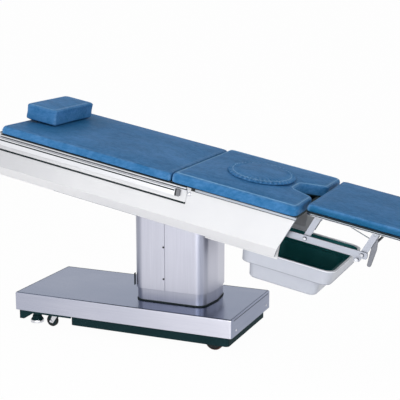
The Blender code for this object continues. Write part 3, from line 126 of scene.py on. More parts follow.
class Finish(Nodes):
    """One material of the table."""

    def __init__(self, name):
        self.material = bpy.data.materials.new(name)
        self.material.use_nodes = True
        super().__init__(self.material.node_tree)
        self.points = self.node("ShaderNodeTexCoord", output="Object")

    def facing(self):
        """X, Y and Z of the surface's own direction."""
        split = self.node("ShaderNodeSeparateXYZ", None, {0: self.points.part("Normal")})
        return split, split.part(1), split.part(2)

    def where(self):
        """X of the place on the piece; its other parts are Y and Z."""
        return self.node("ShaderNodeSeparateXYZ", None, {0: self.points})

    def noise(self, scale, detail, rough=0.5, stretch=(1, 1, 1), turn=0.0):
        """Noise turned level with the table, and stretched where it stands for a drawn pattern."""
        level = self.node("ShaderNodeVectorRotate", {"rotation_type": "Y_AXIS"}, {0: self.points, 3: turn})
        drawn = self.node("ShaderNodeVectorMath", {"operation": "MULTIPLY"}, {0: level, 1: stretch})
        sockets = {"Vector": drawn, "Scale": scale, "Detail": detail, "Roughness": rough}
        return self.node("ShaderNodeTexNoise", None, sockets)

    def cells(self, scale):
        sockets = {"Vector": self.points, "Scale": scale, "Randomness": 1.0}
        return self.node("ShaderNodeTexVoronoi", {"feature": "DISTANCE_TO_EDGE"}, sockets)

    def noted(self, name):
        """A value that the mesh keeps for each of its points."""
        return self.node("ShaderNodeAttribute", {"attribute_name": name}, None, "Fac")

    def mix(self, share, first, second):
        """Colour between two colours."""
        ends = {key: value if isinstance(value, Reading) else (*value, 1.0)
                for key, value in ((6, first), (7, second))}
        return self.node("ShaderNodeMix", {"data_type": "RGBA"}, {0: share, **ends}, 2)

    def surface(self, colour, rough, relief, depth, strength, **others):
        """Closes the finish with its shader, and gives the material."""
        bump = self.node("ShaderNodeBump", None, {"Height": relief, "Distance": depth, "Strength": strength})
        sockets = {label.replace("_", " "): value for label, value in others.items()}
        sockets.update({"Base Color": colour, "Roughness": rough, "Normal": bump})
        self.end("ShaderNodeOutputMaterial", self.node("ShaderNodeBsdfPrincipled", None, sockets))
        return self.material


def brushed_sheet(name, along, dark, painted_top_shade=0.0, painted_end_shade=0.0, painted_corner_shade=0.0, gloss=0.0, painted_light_toward_foot=0.0, hem=None):
    """Brushed stainless sheet, drawn along one axis, with painted shade on its tops, ends and corners, painted light
    on its sides toward the foot end, and painted shade below its hem.
    """
    finish = Finish(name)
    side, flank, up = finish.facing()
    drawn = finish.noise(1.0, 3.0, 0.6, along)
    cross = finish.noise(1.0, 3.0, 0.6, (along[1], along[0], along[2]))
    ends = abs(side).rise(0.6, 0.8)
    streak = drawn + (cross - drawn) * ends
    cloud = finish.noise(3.5, 2.0)
    top = up.rise(0.6, 0.95)
    # painted shade: tops, ends and rounded corners darkened for how light and reflections fall on them; a negative
    # share paints the ends lighter
    wear_and_painted_light = top * painted_top_shade + ends * painted_end_shade + (abs(side) * abs(flank)).rise(0.0, 0.40) * painted_corner_shade
    share = 0.70 + (streak - 0.5) * 0.34 + (cloud - 0.5) * 0.20 - wear_and_painted_light
    # painted light: the side faces made paler toward the foot end
    if painted_light_toward_foot:
        share = share + abs(flank).rise(0.6, 0.9) * (finish.where() + 0.48) * painted_light_toward_foot
    # painted shade: the sleeve made darker below the cover's hem
    if hem is not None:
        share = share - (hem - finish.where().part(2)).rise(-0.0025, 0.0) * 0.13
    return finish.surface(finish.mix(share, dark, (0.66, 0.66, 0.74)), 0.32 + streak * 0.12 - top * gloss,
                          streak, depth=0.00004, strength=0.5, Metallic=1.0)


def bright_steel(name, dark, light):
    """Plated and polished steel with faint buffing marks."""
    finish = Finish(name)
    buff = finish.noise(160, 2.0, 0.6, (0.1, 1, 1), TABLE_TILT)
    cloud = finish.noise(22, 2.0)
    share = 0.6 + (buff - 0.5) * 0.3 + (cloud - 0.5) * 0.2
    return finish.surface(finish.mix(share, dark, light), 0.26 + buff * 0.10,
                          buff, depth=0.000006, strength=0.3, Metallic=1.0)


def drawn_bar(name, dark, light, metal=1.0, edge=0.0):
    """Drawn bar stock with a satin skin, marked along the table; with an edge share, its broad faces are painted
    lighter and its narrow faces darker, as painted light and shade.
    """
    finish = Finish(name)
    drawn = finish.noise(1.0, 3.0, 0.6, (6, 520, 520), TABLE_TILT)
    cloud = finish.noise(14, 2.0)
    share = 0.6 + (drawn - 0.5) * 0.35 + (cloud - 0.5) * 0.25
    if edge:
        # painted light and shade: broad faces lighter, narrow edge faces darker, outlining the bar
        _, flank, _ = finish.facing()
        share = share + edge * (abs(flank).rise(0.75, 0.95) - 0.55)
    return finish.surface(finish.mix(share, dark, light), 0.40 + drawn * 0.10,
                          drawn, depth=0.00001, strength=0.4, Metallic=metal)


def enamel(name, dark, light, rough, gloss):
    """Sprayed and baked dark paint with a faint orange peel."""
    finish = Finish(name)
    skin = finish.noise(230, 1.0)
    cloud = finish.noise(6.5, 3.0)
    return finish.surface(finish.mix(cloud.rise(0.3, 0.7), dark, light), rough + (skin - 0.5) * 0.12,
                          skin, depth=0.00006, strength=0.6, Specular_IOR_Level=gloss)


def housing_enamel():
    """Light grey baked paint, painted paler on its downward-facing flanges and painted darker toward the head end, as
    painted light and shade.
    """
    finish = Finish("light_grey_enamel")
    skin = finish.noise(230, 1.0)
    cloud = finish.noise(6.5, 3.0)
    _, _, up = finish.facing()
    tone = finish.mix(cloud.rise(0.3, 0.7), (0.735, 0.740, 0.765), (0.775, 0.780, 0.800))
    # painted shade: darker toward the head end, where the light falls off
    tone = finish.mix((0 - finish.where()).rise(0.45, 0.90) * 0.75, tone, (0.595, 0.600, 0.630))
    # painted light: faces turned downward made paler
    tone = finish.mix((0 - up).rise(0.15, 0.50), tone, (0.900, 0.900, 0.920))
    return finish.surface(tone, 0.45 + (skin - 0.5) * 0.12, skin, depth=0.00006, strength=0.6,
                          Coat_Weight=0.15, Coat_Roughness=0.25, Specular_IOR_Level=0.3)


def ballast():
    """Painted casting with a pitted skin."""
    finish = Finish("cast_ballast")
    pits = finish.noise(150, 4.0, 0.65)
    cloud = finish.noise(9, 2.0)
    return finish.surface(finish.mix(cloud, (0.004, 0.019, 0.023), (0.009, 0.033, 0.038)), 0.55 + pits * 0.22,
                          pits, depth=0.0004, strength=0.6, Specular_IOR_Level=0.08)


def moulding(name, dark, light, rough, grain):
    """Moulded plastic or rubber with a fine matt grain."""
    finish = Finish(name)
    skin = finish.noise(900, 2.0, 0.6)
    cloud = finish.noise(18, 2.0)
    share = 0.5 + (skin - 0.5) * 0.5 + (cloud - 0.5) * 0.7
    return finish.surface(finish.mix(share, dark, light), rough + (cloud - 0.5) * 0.16,
                          skin, depth=grain, strength=0.7, Specular_IOR_Level=0.2)


def basin_plastic(name, dark, light):
    """Vacuum-formed sheet, glossy, with a soft ripple from the mould."""
    finish = Finish(name)
    ripple = finish.noise(26, 2.0)
    skin = finish.noise(420, 1.0)
    return finish.surface(finish.mix(ripple, dark, light), 0.30 + skin * 0.12, ripple * 0.7 + skin * 0.05,
                          depth=0.0006, strength=0.35, Coat_Weight=0.15, Coat_Roughness=0.2)


def vinyl(name, dark, light):
    """Upholstery vinyl: pressed leather grain and cloudy dye; edges paler for wear and as a painted highlight, and
    painted shade where the mesh notes it.
    """
    finish = Finish(name)
    grain = finish.cells(760)
    fine = finish.noise(2300, 2.0)
    cloud = finish.noise(3.2, 2.0, 0.5, (0.6, 1, 1), TABLE_TILT)
    patch = finish.noise(19, 3.0, 0.6, (0.7, 1, 1), TABLE_TILT)
    fleck = finish.noise(90, 3.0, 0.65, (0.5, 1, 1), TABLE_TILT)
    pressed = grain.rise(0.0, 0.16)
    share = (0.52 + (cloud.rise(0.35, 0.65) - 0.5) * 0.3 + (patch.rise(0.36, 0.64) - 0.5) * 0.28
             + (fleck.rise(0.35, 0.65) - 0.5) * 0.28 + (pressed - 0.8) * 0.12)
    # paler along edges and fold ridges: wear, with a painted highlight
    wear_and_painted_light = finish.noted("rubbed") * (0.25 + fleck.rise(0.35, 0.65) * 0.55)
    # painted shade: darker teal where the mesh notes shade for it
    dye_and_painted_shade = finish.mix(finish.noted("deep"), finish.mix(share, dark, light), (0.003, 0.090, 0.200))
    rough = 0.55 + (patch - 0.5) * 0.2 + (1 - pressed) * 0.10
    return finish.surface(finish.mix(wear_and_painted_light, dye_and_painted_shade, (0.155, 0.320, 0.560)), rough, pressed * 0.8 + fine * 0.2,
                          depth=0.00022, strength=0.55, Specular_IOR_Level=0.11)


def linked(name, data):
    """A new object in the scene."""
    piece = bpy.data.objects.new(name, data)
    bpy.context.scene.collection.objects.link(piece)
    return piece


def meshed(name, bm):
    """The mesh of a work mesh, which is then freed."""
    mesh = bpy.data.meshes.new(name)
    bm.to_mesh(mesh)
    bm.free()
    return mesh


def settled(piece):
    """Works the modifiers into the mesh, so that a plain mesh is left."""
    graph = bpy.context.evaluated_depsgraph_get()
    mesh = bpy.data.meshes.new_from_object(piece.evaluated_get(graph), depsgraph=graph)
    old = piece.data
    piece.modifiers.clear()
    piece.data = mesh
    mesh.name = piece.name
    bpy.data.meshes.remove(old)
    return piece


def merged(node, matrix=Matrix()):
    """Copy of a CAD node with its loose triangles joined into flat faces."""
    bm = bmesh.new()
    bm.from_mesh(frame["nodes"][node].data)
    bmesh.ops.remove_doubles(bm, verts=bm.verts, dist=0.000002)
    bmesh.ops.dissolve_limit(bm, angle_limit=radians(0.4), verts=bm.verts, edges=bm.edges)
    bm.transform(matrix)
    return bm


def shaded(mesh, angle):
    """Smooth over gentle bends, crisp at real edges."""
    mesh.polygons.foreach_set("use_smooth", [True] * len(mesh.polygons))
    mesh.set_sharp_from_angle(angle=radians(angle))


def flat_faced(piece):
    """Smooth over the broken edges, while the faces between them stay flat."""
    piece.data.polygons.foreach_set("use_smooth", [True] * len(piece.data.polygons))
    weight = piece.modifiers.new("flats", "WEIGHTED_NORMAL")
    weight.weight, weight.thresh = 100, 0.01
    return settled(piece)


def stand_in(piece, node):
    """The piece shows in place of a CAD node and moves with its body."""
    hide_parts(node)
    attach(piece, BODY_OF[node])
    return piece


def eased(node, kind, width, segments=2):
    """A CAD node's shape with its edges broken as a fitter would leave them."""
    mesh = meshed(node + "_eased", merged(node))
    mesh.materials.append(FINISH[kind])
    piece = linked(node + "_eased", mesh)
    bevel = piece.modifiers.new("edges", "BEVEL")
    bevel.width, bevel.segments = width, segments
    bevel.limit_method, bevel.angle_limit = "ANGLE", radians(SOFT_ANGLE)
    flat_faced(piece)
    return stand_in(piece, node)


def painted(node, kind):
    """A CAD node that keeps its own shape and takes a finish."""
    slots = frame["nodes"][node].data.materials
    slots.clear()
    slots.append(FINISH[kind])


def two_tone(piece, kind, belongs):
    """Gives a second finish to the faces whose middle belongs to another stretch of the piece."""
    mesh = piece.data
    mesh.materials.append(FINISH[kind])
    for face in mesh.polygons:
        if belongs(face.center, face.normal):
            face.material_index = len(mesh.materials) - 1


def mirrored(low, high):
    """A block on the right side, given by two corners, and its mirror image on the left side."""
    return [(low, high), ((low[0], -high[1], low[2]), (high[0], -low[1], high[2]))]


def middle_of(node):
    low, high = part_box(node)
    return (low + high) / 2


def level_box(node):
    """Low and high corner of a CAD node in the table's level."""
    points = np.array([FLAT @ vert.co for vert in frame["nodes"][node].data.vertices])
    return Vector(points.min(0)), Vector(points.max(0))


def evenly(points, step):
    """Points at even steps round a closed line."""
    row = np.array([tuple(p) for p in (*points, points[0])], float)
    run = np.concatenate([[0], np.cumsum(np.linalg.norm(np.diff(row, axis=0), axis=1))])
    count = max(2, round(run[-1] / step))
    places = np.linspace(0, run[-1], count + 1)[:count]
    return [Vector([np.interp(s, run, row[:, k]) for k in range(row.shape[1])]) for s in places]


def outline_at(bm, level):
    """The outer loop of a flat-lying solid at one level."""
    work = bm.copy()
    geom = [*work.verts, *work.edges, *work.faces]
    cut = bmesh.ops.bisect_plane(work, geom=geom, dist=1e-7, plane_co=(0, 0, level), plane_no=(0, 0, 1))
    edges = dict.fromkeys(e for e in cut["geom_cut"] if isinstance(e, bmesh.types.BMEdge))
    loops = []
    while edges:
        edge = next(iter(edges))
        del edges[edge]
        start, tip = edge.verts
        loop = [start, tip]
        while True:
            step = next((e for e in tip.link_edges if e in edges), None)
            if step is None:
                break
            del edges[step]
            tip = step.other_vert(tip)
            loop.append(tip)
        loops.append([v.co.xy.copy() for v in loop])
    work.free()

    def area(loop):
        return sum(a.x * b.y - b.x * a.y for a, b in zip(loop, loop[1:] + loop[:1]))

    loop = max(loops, key=lambda one: abs(area(one)))
    if (loop[0] - loop[-1]).length < 1e-6:
        loop.pop()
    if area(loop) < 0:
        loop.reverse()
    first = min(range(len(loop)), key=lambda k: (round(loop[k].x, 5), round(loop[k].y, 5)))
    return loop[first:] + loop[:first]


class Cushion:
    """One upholstered piece: a slack cover, blown out by its filling, in the table's level."""

    SLACK = 0.003

    def __init__(self, node, voxel, cap=0.005, crown=0.004, pockets=None):
        self.node, self.cap, self.crown = node, cap, crown
        bm = merged(node, FLAT)
        if pockets:
            self.shorten(bm, **pockets)
        points = np.array([v.co for v in bm.verts])
        self.low, self.high = points.min(0), points.max(0)
        self.outline = outline_at(bm, self.high[2] - 0.006)
        middle = (self.low + self.high) / 2
        middle[2] = self.low[2]
        size = self.high - self.low
        shrink = (size - self.SLACK * np.array([2, 2, 1])) / size
        for vert in bm.verts:
            vert.co = Vector(middle + (np.array(vert.co) - middle) * shrink)
        self.piece = linked(node + "_cushion", meshed(node + "_cushion", bm))
        remesh = self.piece.modifiers.new("weave", "REMESH")
        remesh.mode, remesh.voxel_size = "VOXEL", voxel
        settled(self.piece)
        self.start = self.points()

    def shorten(self, bm, inner, outer, start, short, top, low):
        """Keeps the hinge pockets to the cushion's end, so that its top stays whole over them."""
        for vert in bm.verts:
            if inner < abs(vert.co.y) < outer and vert.co.x > start - 0.0005:
                if abs(vert.co.z - top) < 0.00015:
                    vert.co.z = low
                vert.co.x = max(vert.co.x, short)

    def points(self):
        flat = np.zeros(len(self.piece.data.vertices) * 3)
        self.piece.data.vertices.foreach_get("co", flat)
        return flat.reshape(-1, 3)

    def place(self, points):
        self.piece.data.vertices.foreach_set("co", np.ascontiguousarray(points).ravel())
        self.piece.data.update()

    def sink(self, depth):
        """Moves each point of the cover inward by a depth of its own."""
        normals = np.zeros(len(depth) * 3, np.float32)
        self.piece.data.vertex_normals.foreach_get("vector", normals)
        self.place(self.points() - normals.reshape(-1, 3) * depth[:, None])

    def fill(self, pressure):
        """Cover held along its underside and, less firmly, along its sewn top edge; filling presses inside."""
        held = self.piece.vertex_groups.new(name="held")
        under = self.start[:, 2] < self.low[2] + 0.003
        _, gap = self.along_outline(self.start)
        edge = (gap < 0.012) & (self.start[:, 2] > self.high[2] - 0.022) & ~under
        held.add([int(i) for i in np.flatnonzero(edge)], 0.6, "REPLACE")
        held.add([int(i) for i in np.flatnonzero(under)], 1.0, "REPLACE")
        cloth = self.piece.modifiers.new("cover", "CLOTH")
        cover = cloth.settings
        cover.quality, cover.mass = 4, 0.3
        cover.tension_stiffness = cover.compression_stiffness = 18
        cover.shear_stiffness, cover.bending_stiffness = 8, 0.8
        cover.use_pressure, cover.uniform_pressure_force = True, pressure
        cover.vertex_group_mass = "held"
        cover.effector_weights.gravity = 0
        cloth.point_cache.frame_end = CLOTH_FRAMES

    def ring(self):
        return np.array([tuple(p) for p in evenly(self.outline, OUTLINE_STEP)])

    def along_outline(self, points):
        """How far round the outline each point lies, and how far it is from the outline."""
        row = self.ring()
        run = np.arange(len(row)) * OUTLINE_STEP
        gap, place = np.full(len(points), 9.0), np.zeros(len(points))
        for first in range(0, len(row), 50):
            block = np.linalg.norm(points[:, None, :2] - row[None, first:first + 50], axis=2)
            near = block.argmin(1)
            closest = block[np.arange(len(points)), near]
            better = closest < gap
            gap[better], place[better] = closest[better], run[first + near[better]]
        return place, gap

    def draw_in(self, depth):
        """Pulls the sides in between the corners, as a tight cover does."""
        points = self.points()
        middle, half = (self.low + self.high) / 2, (self.high - self.low) / 2
        u, v = ((points[:, k] - middle[k]) / half[k] for k in (0, 1))
        rise = np.clip((points[:, 2] - self.low[2]) / (self.high[2] - self.low[2]), 0, 1)
        waist = depth * np.sin(np.pi * rise)
        points[:, 0] -= np.sign(u) * waist * u ** 8 * (1 - v ** 4)
        points[:, 1] -= np.sign(v) * waist * v ** 8 * (1 - u ** 4)
        self.place(points)

    def square_end(self, toward, round_off):
        """Squares the two corners of one end, as a boxed cover's corners are."""
        middle, half = (self.low[1] + self.high[1]) / 2, (self.high[1] - self.low[1]) / 2
        end = self.high[0] if toward > 0 else self.low[0]

        def squared(points):
            into = np.clip(round_off - toward * (end - points[:, 0]), 0, round_off * 0.995)
            width = half - round_off + np.sqrt(round_off ** 2 - into ** 2)
            points[:, 1] = middle + (points[:, 1] - middle) * half / width
            return points

        self.place(squared(self.points()))
        self.outline = [Vector(p) for p in squared(np.array([tuple(p) for p in self.outline]))]

    def sharpen(self, radius, power):
        """Brings the round-over of the top edge closer to a boxed edge."""
        points = self.points()
        row = self.ring()
        ahead = np.roll(row, -1, 0) - np.roll(row, 1, 0)
        out = np.stack([ahead[:, 1], -ahead[:, 0]], 1) / np.linalg.norm(ahead, axis=1, keepdims=True)
        place, _ = self.along_outline(points)
        at = np.minimum((place / OUTLINE_STEP + 0.5).astype(int), len(row) - 1)
        inside = -((points[:, :2] - row[at]) * out[at]).sum(1)
        across = np.clip(1 - inside / radius, 0, 1)
        up = np.clip((points[:, 2] - self.high[2] + self.crown + radius) / radius, 0, 1)
        reach = np.maximum(across ** 2 + up ** 2, 1e-9) ** 0.5
        boxed = np.maximum(across ** power + up ** power, 1e-9) ** (1 / power)
        grow = np.where((across > 0) & (up > 0), np.clip(reach / boxed, 1, 1.4) - 1, 0)
        grow *= np.clip(reach, 0, 1) ** 4
        points[:, :2] += out[at] * (across * grow * radius)[:, None]
        points[:, 2] += up * grow * radius
        self.place(points)

    def tuck_under(self, height, depth):
        """Draws the lower edge in, so that the piece lies on a shadowed crease."""
        points = self.points()
        middle = (self.low + self.high) / 2
        _, gap = self.along_outline(points)
        share = np.clip(1 - (points[:, 2] - self.low[2]) / height, 0, 1) ** 2 * np.clip(1 - gap / 0.03, 0, 1)
        inward = middle[:2] - points[:, :2]
        inward /= np.maximum(np.linalg.norm(inward, axis=1, keepdims=True), 1e-6)
        points[:, :2] += inward * (share * depth)[:, None]
        self.place(points)

    def pleat(self, pitch, depth, reach):
        """Gathers the cover in small folds that run in from the outline."""
        points = self.points()
        place, gap = self.along_outline(points)
        length = len(self.ring()) * OUTLINE_STEP
        count = round(length / pitch)
        fold = 0.5 - 0.5 * np.cos(2 * np.pi * place / length * count)
        near = np.clip(1 - gap / reach, 0, 1) * np.clip((points[:, 2] - self.low[2]) / 0.006, 0, 1)
        self.sink(fold ** 2 * near * depth)
        # the folds' ridges, which the finish paints paler as a highlight
        return (1 - fold) ** 2 * near

    def finish_off(self):
        """Caps the swelling, smooths it once and fits it to the room the solid holds."""
        if self.piece.modifiers:
            settled(self.piece)
        self.piece.vertex_groups.clear()
        moved = self.points() - self.start
        reach = np.maximum(np.linalg.norm(moved, axis=1, keepdims=True), 1e-9)
        self.place(self.start + moved * self.cap * np.tanh(reach / self.cap) / reach)
        smooth = self.piece.modifiers.new("fine", "SUBSURF")
        smooth.levels = smooth.render_levels = 1
        settled(self.piece)
        points = self.points()
        low, high = points.min(0), points.max(0)
        self.place(self.low + (points - low) * (self.high - self.low) / (high - low))

    def tree(self):
        mesh = self.piece.data
        return BVHTree.FromPolygons([v.co for v in mesh.vertices], [tuple(p.vertices) for p in mesh.polygons])

    def rim(self):
        """Where the top turns into the sides, followed round on the made-up cover."""
        tree, path = self.tree(), []
        ring = evenly(self.outline, 0.008)
        for i, point in enumerate(ring):
            ahead = ring[(i + 1) % len(ring)] - ring[i - 1]
            out = Vector((ahead.y, -ahead.x)).normalized()
            away = 0.03
            start = Vector((*(point + out * away), self.high[2] + away))
            hit, normal, _, _ = tree.ray_cast(start, Vector((-out.x, -out.y, -1)).normalized())
            if hit is not None:
                path.append(hit + normal * ON_TOP)
        return path

    def crease(self, path, width, depth):
        """Draws the cover in along a seam."""
        points = self.points()
        row = np.array([tuple(p) for p in path])
        gap = np.full(len(points), 1.0)
        for block in np.array_split(row, max(1, len(row) // 40)):
            gap = np.minimum(gap, np.linalg.norm(points[:, None] - block[None], axis=2).min(1))
        share = np.clip(1 - gap / width, 0, 1)
        self.sink(share * share * (3 - 2 * share) * depth)
        return gap

    def note(self, name, share):
        """Keeps one value for each point of the cover, for its finish to read."""
        kept = self.piece.data.attributes.new(name, "FLOAT", "POINT")
        kept.data.foreach_set("value", share.astype(np.float32))

    def mark_wear_and_highlight(self, gap, reach, ridges):
        """Notes how much paler the cover is made: along its sewn edge and up its corners for wear and a painted
        highlight, and on its folds' ridges as a painted highlight.
        """
        points = self.points()
        for x in (self.low[0], self.high[0]):
            for y in (self.low[1], self.high[1]):
                gap = np.minimum(gap, np.linalg.norm(points[:, :2] - (x, y), axis=1) - 0.002)
        self.note("rubbed", np.maximum(np.clip(1 - gap / reach, 0, 1) ** 1.5, ridges))

    def hand_over(self, fill):
        """Puts the cushion on the table in place of its CAD solid."""
        mesh = self.piece.data
        mesh.transform(TABLE)
        mesh.materials.clear()
        mesh.materials.append(FINISH["vinyl"])
        shaded(mesh, 75)
        stand_in(self.piece, self.node)


def recipe(name, **inputs):
    """An empty geometry tree with named inputs, its writer, and each input's reading."""
    tree = bpy.data.node_groups.new(name, "GeometryNodeTree")
    keys = {}
    tree.interface.new_socket("Geometry", in_out="INPUT", socket_type="NodeSocketGeometry")
    for label, kind in inputs.items():
        keys[label] = tree.interface.new_socket(label, in_out="INPUT", socket_type="NodeSocket" + kind).identifier
    tree.interface.new_socket("Geometry", in_out="OUTPUT", socket_type="NodeSocketGeometry")
    nodes = Nodes(tree)
    entry = nodes.node("NodeGroupInput")
    given = {label: entry.part(label) for label in ("Geometry", *inputs)}
    return nodes, given, keys


def plated(nodes, geometry, finish):
    """Ends a geometry tree: real mesh, in one finish."""
    real = nodes.node("GeometryNodeRealizeInstances", None, {0: geometry})
    dressed = nodes.node("GeometryNodeSetMaterial", None, {"Geometry": real, "Material": finish})
    nodes.end("NodeGroupOutput", dressed)


def fastener_recipe():
    """Heads set on points, each turned to face the way its point says."""
    nodes, given, keys = recipe("fasteners", Head="Object", Radius="Float", Height="Float", Finish="Material")
    head = nodes.node("GeometryNodeObjectInfo", None, {"Object": given["Head"]}, "Geometry")
    facing = nodes.node("GeometryNodeInputNamedAttribute", {"data_type": "FLOAT_VECTOR"}, {"Name": "facing"})
    turn = nodes.node("FunctionNodeAlignRotationToVector", {"axis": "Z"}, {"Vector": facing})
    size = nodes.node("ShaderNodeCombineXYZ", None, {0: given["Radius"], 1: given["Radius"], 2: given["Height"]})
    set_on = nodes.node("GeometryNodeInstanceOnPoints", None, {
        "Points": given["Geometry"], "Instance": head, "Rotation": turn, "Scale": size})
    plated(nodes, set_on, given["Finish"])
    return nodes.tree, keys


def welt_recipe():
    """A round bead along a line."""
    nodes, given, keys = recipe("welt", Radius="Float", Step="Float", Finish="Material")
    line = nodes.node("GeometryNodeMeshToCurve", None, {0: given["Geometry"]})
    even = nodes.node("GeometryNodeResampleCurve", {"mode": "LENGTH"}, {"Curve": line, "Length": given["Step"]})
    ring = nodes.node("GeometryNodeCurvePrimitiveCircle", None, {"Resolution": 8, "Radius": given["Radius"]})
    solid = nodes.node("GeometryNodeCurveToMesh", None, {"Curve": even, "Profile Curve": ring, "Fill Caps": True})
    plated(nodes, nodes.node("GeometryNodeSetShadeSmooth", None, {0: solid}), given["Finish"])
    return nodes.tree, keys


def stitch_recipe():
    """Short stitches at even steps along a line."""
    nodes, given, keys = recipe("stitches", Step="Float", Length="Float", Thread="Float", Finish="Material")
    line = nodes.node("GeometryNodeMeshToCurve", None, {0: given["Geometry"]})
    spots = nodes.node("GeometryNodeCurveToPoints", {"mode": "LENGTH"}, {"Curve": line, "Length": given["Step"]})
    thread = nodes.node("GeometryNodeMeshUVSphere", None, {"Segments": 6, "Rings": 4, "Radius": 1.0})
    turn = nodes.node("FunctionNodeAlignRotationToVector", {"axis": "X"}, {"Vector": spots.part("Tangent")})
    size = nodes.node("ShaderNodeCombineXYZ", None, {0: given["Length"], 1: given["Thread"], 2: given["Thread"]})
    sewn = nodes.node("GeometryNodeInstanceOnPoints", None, {
        "Points": spots, "Instance": thread, "Rotation": turn, "Scale": size})
    plated(nodes, sewn, given["Finish"])
    return nodes.tree, keys


def made_by(name, mesh, tree_keys, values, kind, body, matrix):
    """Runs a geometry tree on a mesh of points or lines, and rides the plain mesh on a body."""
    tree, keys = tree_keys
    piece = linked(name, mesh)
    modifier = piece.modifiers.new("recipe", "NODES")
    modifier.node_group = tree
    for label, value in {**values, "Finish": FINISH[kind]}.items():
        modifier[keys[label]] = value
    settled(piece)
    piece.data.transform(matrix)
    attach(piece, body)


def bead(welt, name, paths, radius, step, kind, body, matrix=TABLE, closed=True):
    """Round beads along lines, on one body."""
    made_by(name, line_mesh(paths, closed), welt, {"Radius": radius, "Step": step}, kind, body, matrix)


def line_mesh(paths, closed):
    """Lines of points as a mesh of edges."""
    mesh = bpy.data.meshes.new("line")
    points, edges = [], []
    for path in paths:
        first = len(points)
        points += [tuple(p) for p in path]
        edges += [(first + i, first + i + 1) for i in range(len(path) - 1)]
        if closed:
            edges.append((len(points) - 1, first))
    mesh.from_pydata(points, edges, [])
    return mesh


def point_mesh(places):
    """Points with the way each one faces."""
    mesh = bpy.data.meshes.new("places")
    mesh.from_pydata([tuple(p) for p, _ in places], [], [])
    facing = mesh.attributes.new("facing", "FLOAT_VECTOR", "POINT")
    for item, (_, way) in zip(facing.data, places):
        item.vector = way
    return mesh


def turned_head(profile, sides=20):
    """A fastener's head, turned from pairs of radius and level."""
    bm = bmesh.new()
    rings = [[bm.verts.new((r * cos(2 * pi * k / sides), r * sin(2 * pi * k / sides), z)) for k in range(sides)]
             for r, z in profile]
    for lower, upper in zip(rings, rings[1:]):
        for k in range(sides):
            bm.faces.new((lower[k - 1], lower[k], upper[k], upper[k - 1]))
    bm.faces.new(rings[0][::-1])
    bm.faces.new(rings[-1])
    bmesh.ops.recalc_face_normals(bm, faces=bm.faces)
    mesh = meshed("head", bm)
    shaded(mesh, 40)
    head = linked("head", mesh)
    head.hide_render = True
    return head


def strip(name, boxes, kind, body, edge, matrix=Matrix()):
    """Thin fitted strips: blocks between two corners, their edges broken, on one body."""
    bm = bmesh.new()
    for low, high in boxes:
        size = Vector(high) - Vector(low)
        middle = (Vector(high) + Vector(low)) / 2
        bmesh.ops.create_cube(bm, size=1.0, matrix=Matrix.Translation(middle) @ Matrix.Diagonal((*size, 1)))
    bmesh.ops.bevel(bm, geom=list(bm.edges), offset=edge, segments=2, profile=0.5, affect="EDGES")
    mesh = meshed(name, bm)
    mesh.transform(matrix)
    mesh.materials.append(FINISH[kind])
    piece = flat_faced(linked(name, mesh))
    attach(piece, body)


def aim_camera():
    """Camera at the photograph's angle, set from the middle of the base."""
    low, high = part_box("base_cover")
    turn, pitch = radians(23.0), radians(11.9)
    back = Vector((sin(turn) * cos(pitch), -cos(turn) * cos(pitch), sin(pitch)))
    right = Vector((cos(turn), sin(turn), 0))
    axes = Matrix((right, back.cross(right), back)).transposed().to_4x4()
    camera = linked("photo_camera", bpy.data.cameras.new("photo_camera"))
    camera.data.sensor_width, camera.data.lens = 36.0, 96.12
    camera.data.clip_end = 400
    stand = Vector(((low.x + high.x) / 2 + 1.7992, -3.6577, 1.3615))
    camera.matrix_world = Matrix.Translation(stand) @ axes
    bpy.context.scene.camera = camera


def lamp(name, place, target, size, watts):
    """A round soft lamp that faces its target."""
    light = bpy.data.lights.new(name, "AREA")
    light.shape, light.size, light.energy = "DISK", size, watts
    turn = (Vector(place) - Vector(target)).to_track_quat("Z", "Y")
    linked(name, light).matrix_world = Matrix.Translation(place) @ turn.to_matrix().to_4x4()


def seen_share(nodes):
    """1 for what the camera, a reflection or a clear piece sees, 0 for light on the object."""
    path = nodes.node("ShaderNodeLightPath", None, None, "Is Camera Ray")
    either = path.maths("MAXIMUM", path, path.part("Is Glossy Ray"))
    return path.maths("MAXIMUM", either, path.part("Is Transmission Ray"))


def studio():
    """White surround, pale floor that keeps a light shadow, and soft lamps."""
    scene = bpy.context.scene
    scene.view_settings.view_transform = "Standard"
    world = bpy.data.worlds.new("studio")
    world.use_nodes = True
    scene.world = world
    nodes = Nodes(world.node_tree)
    glow = nodes.node("ShaderNodeBackground", None, {0: (1, 1, 1, 1), 1: 0.47})
    white = nodes.node("ShaderNodeBackground", None, {0: (1, 1, 1, 1), 1: 1.0})
    both = nodes.node("ShaderNodeMixShader", None, {0: seen_share(nodes), 1: glow, 2: white})
    nodes.end("ShaderNodeOutputWorld", both)
    finish = Finish("floor")
    mottle = finish.noise(2.0, 2.0)
    pale = finish.node("ShaderNodeBsdfDiffuse", None, {0: finish.mix(mottle, (0.92, 0.92, 0.92), (0.95, 0.95, 0.95))})
    white = finish.node("ShaderNodeEmission", None, {0: (1, 1, 1, 1), 1: 1.0})
    both = finish.node("ShaderNodeMixShader", None, {0: seen_share(finish) * 0.975, 1: pale, 2: white})
    finish.end("ShaderNodeOutputMaterial", both)
    bm = bmesh.new()
    bmesh.ops.create_circle(bm, cap_ends=True, radius=150, segments=96)
    mesh = meshed("floor", bm)
    mesh.materials.append(finish.material)
    linked("floor", mesh)
    lamp("front", (0.20, -3.6, 0.90), (0.05, 0.0, 0.42), size=2.8, watts=38)
    lamp("over", (-0.8, -0.4, 3.4), (-0.2, 0.0, 0.5), size=2.6, watts=11)
    lamp("bounce", (0.1, -2.5, 0.10), (0.0, 0.0, 0.50), size=1.8, watts=20)
    lamp("side", (2.5, -1.9, 0.9), (0.3, 0.0, 0.4), size=1.8, watts=19)


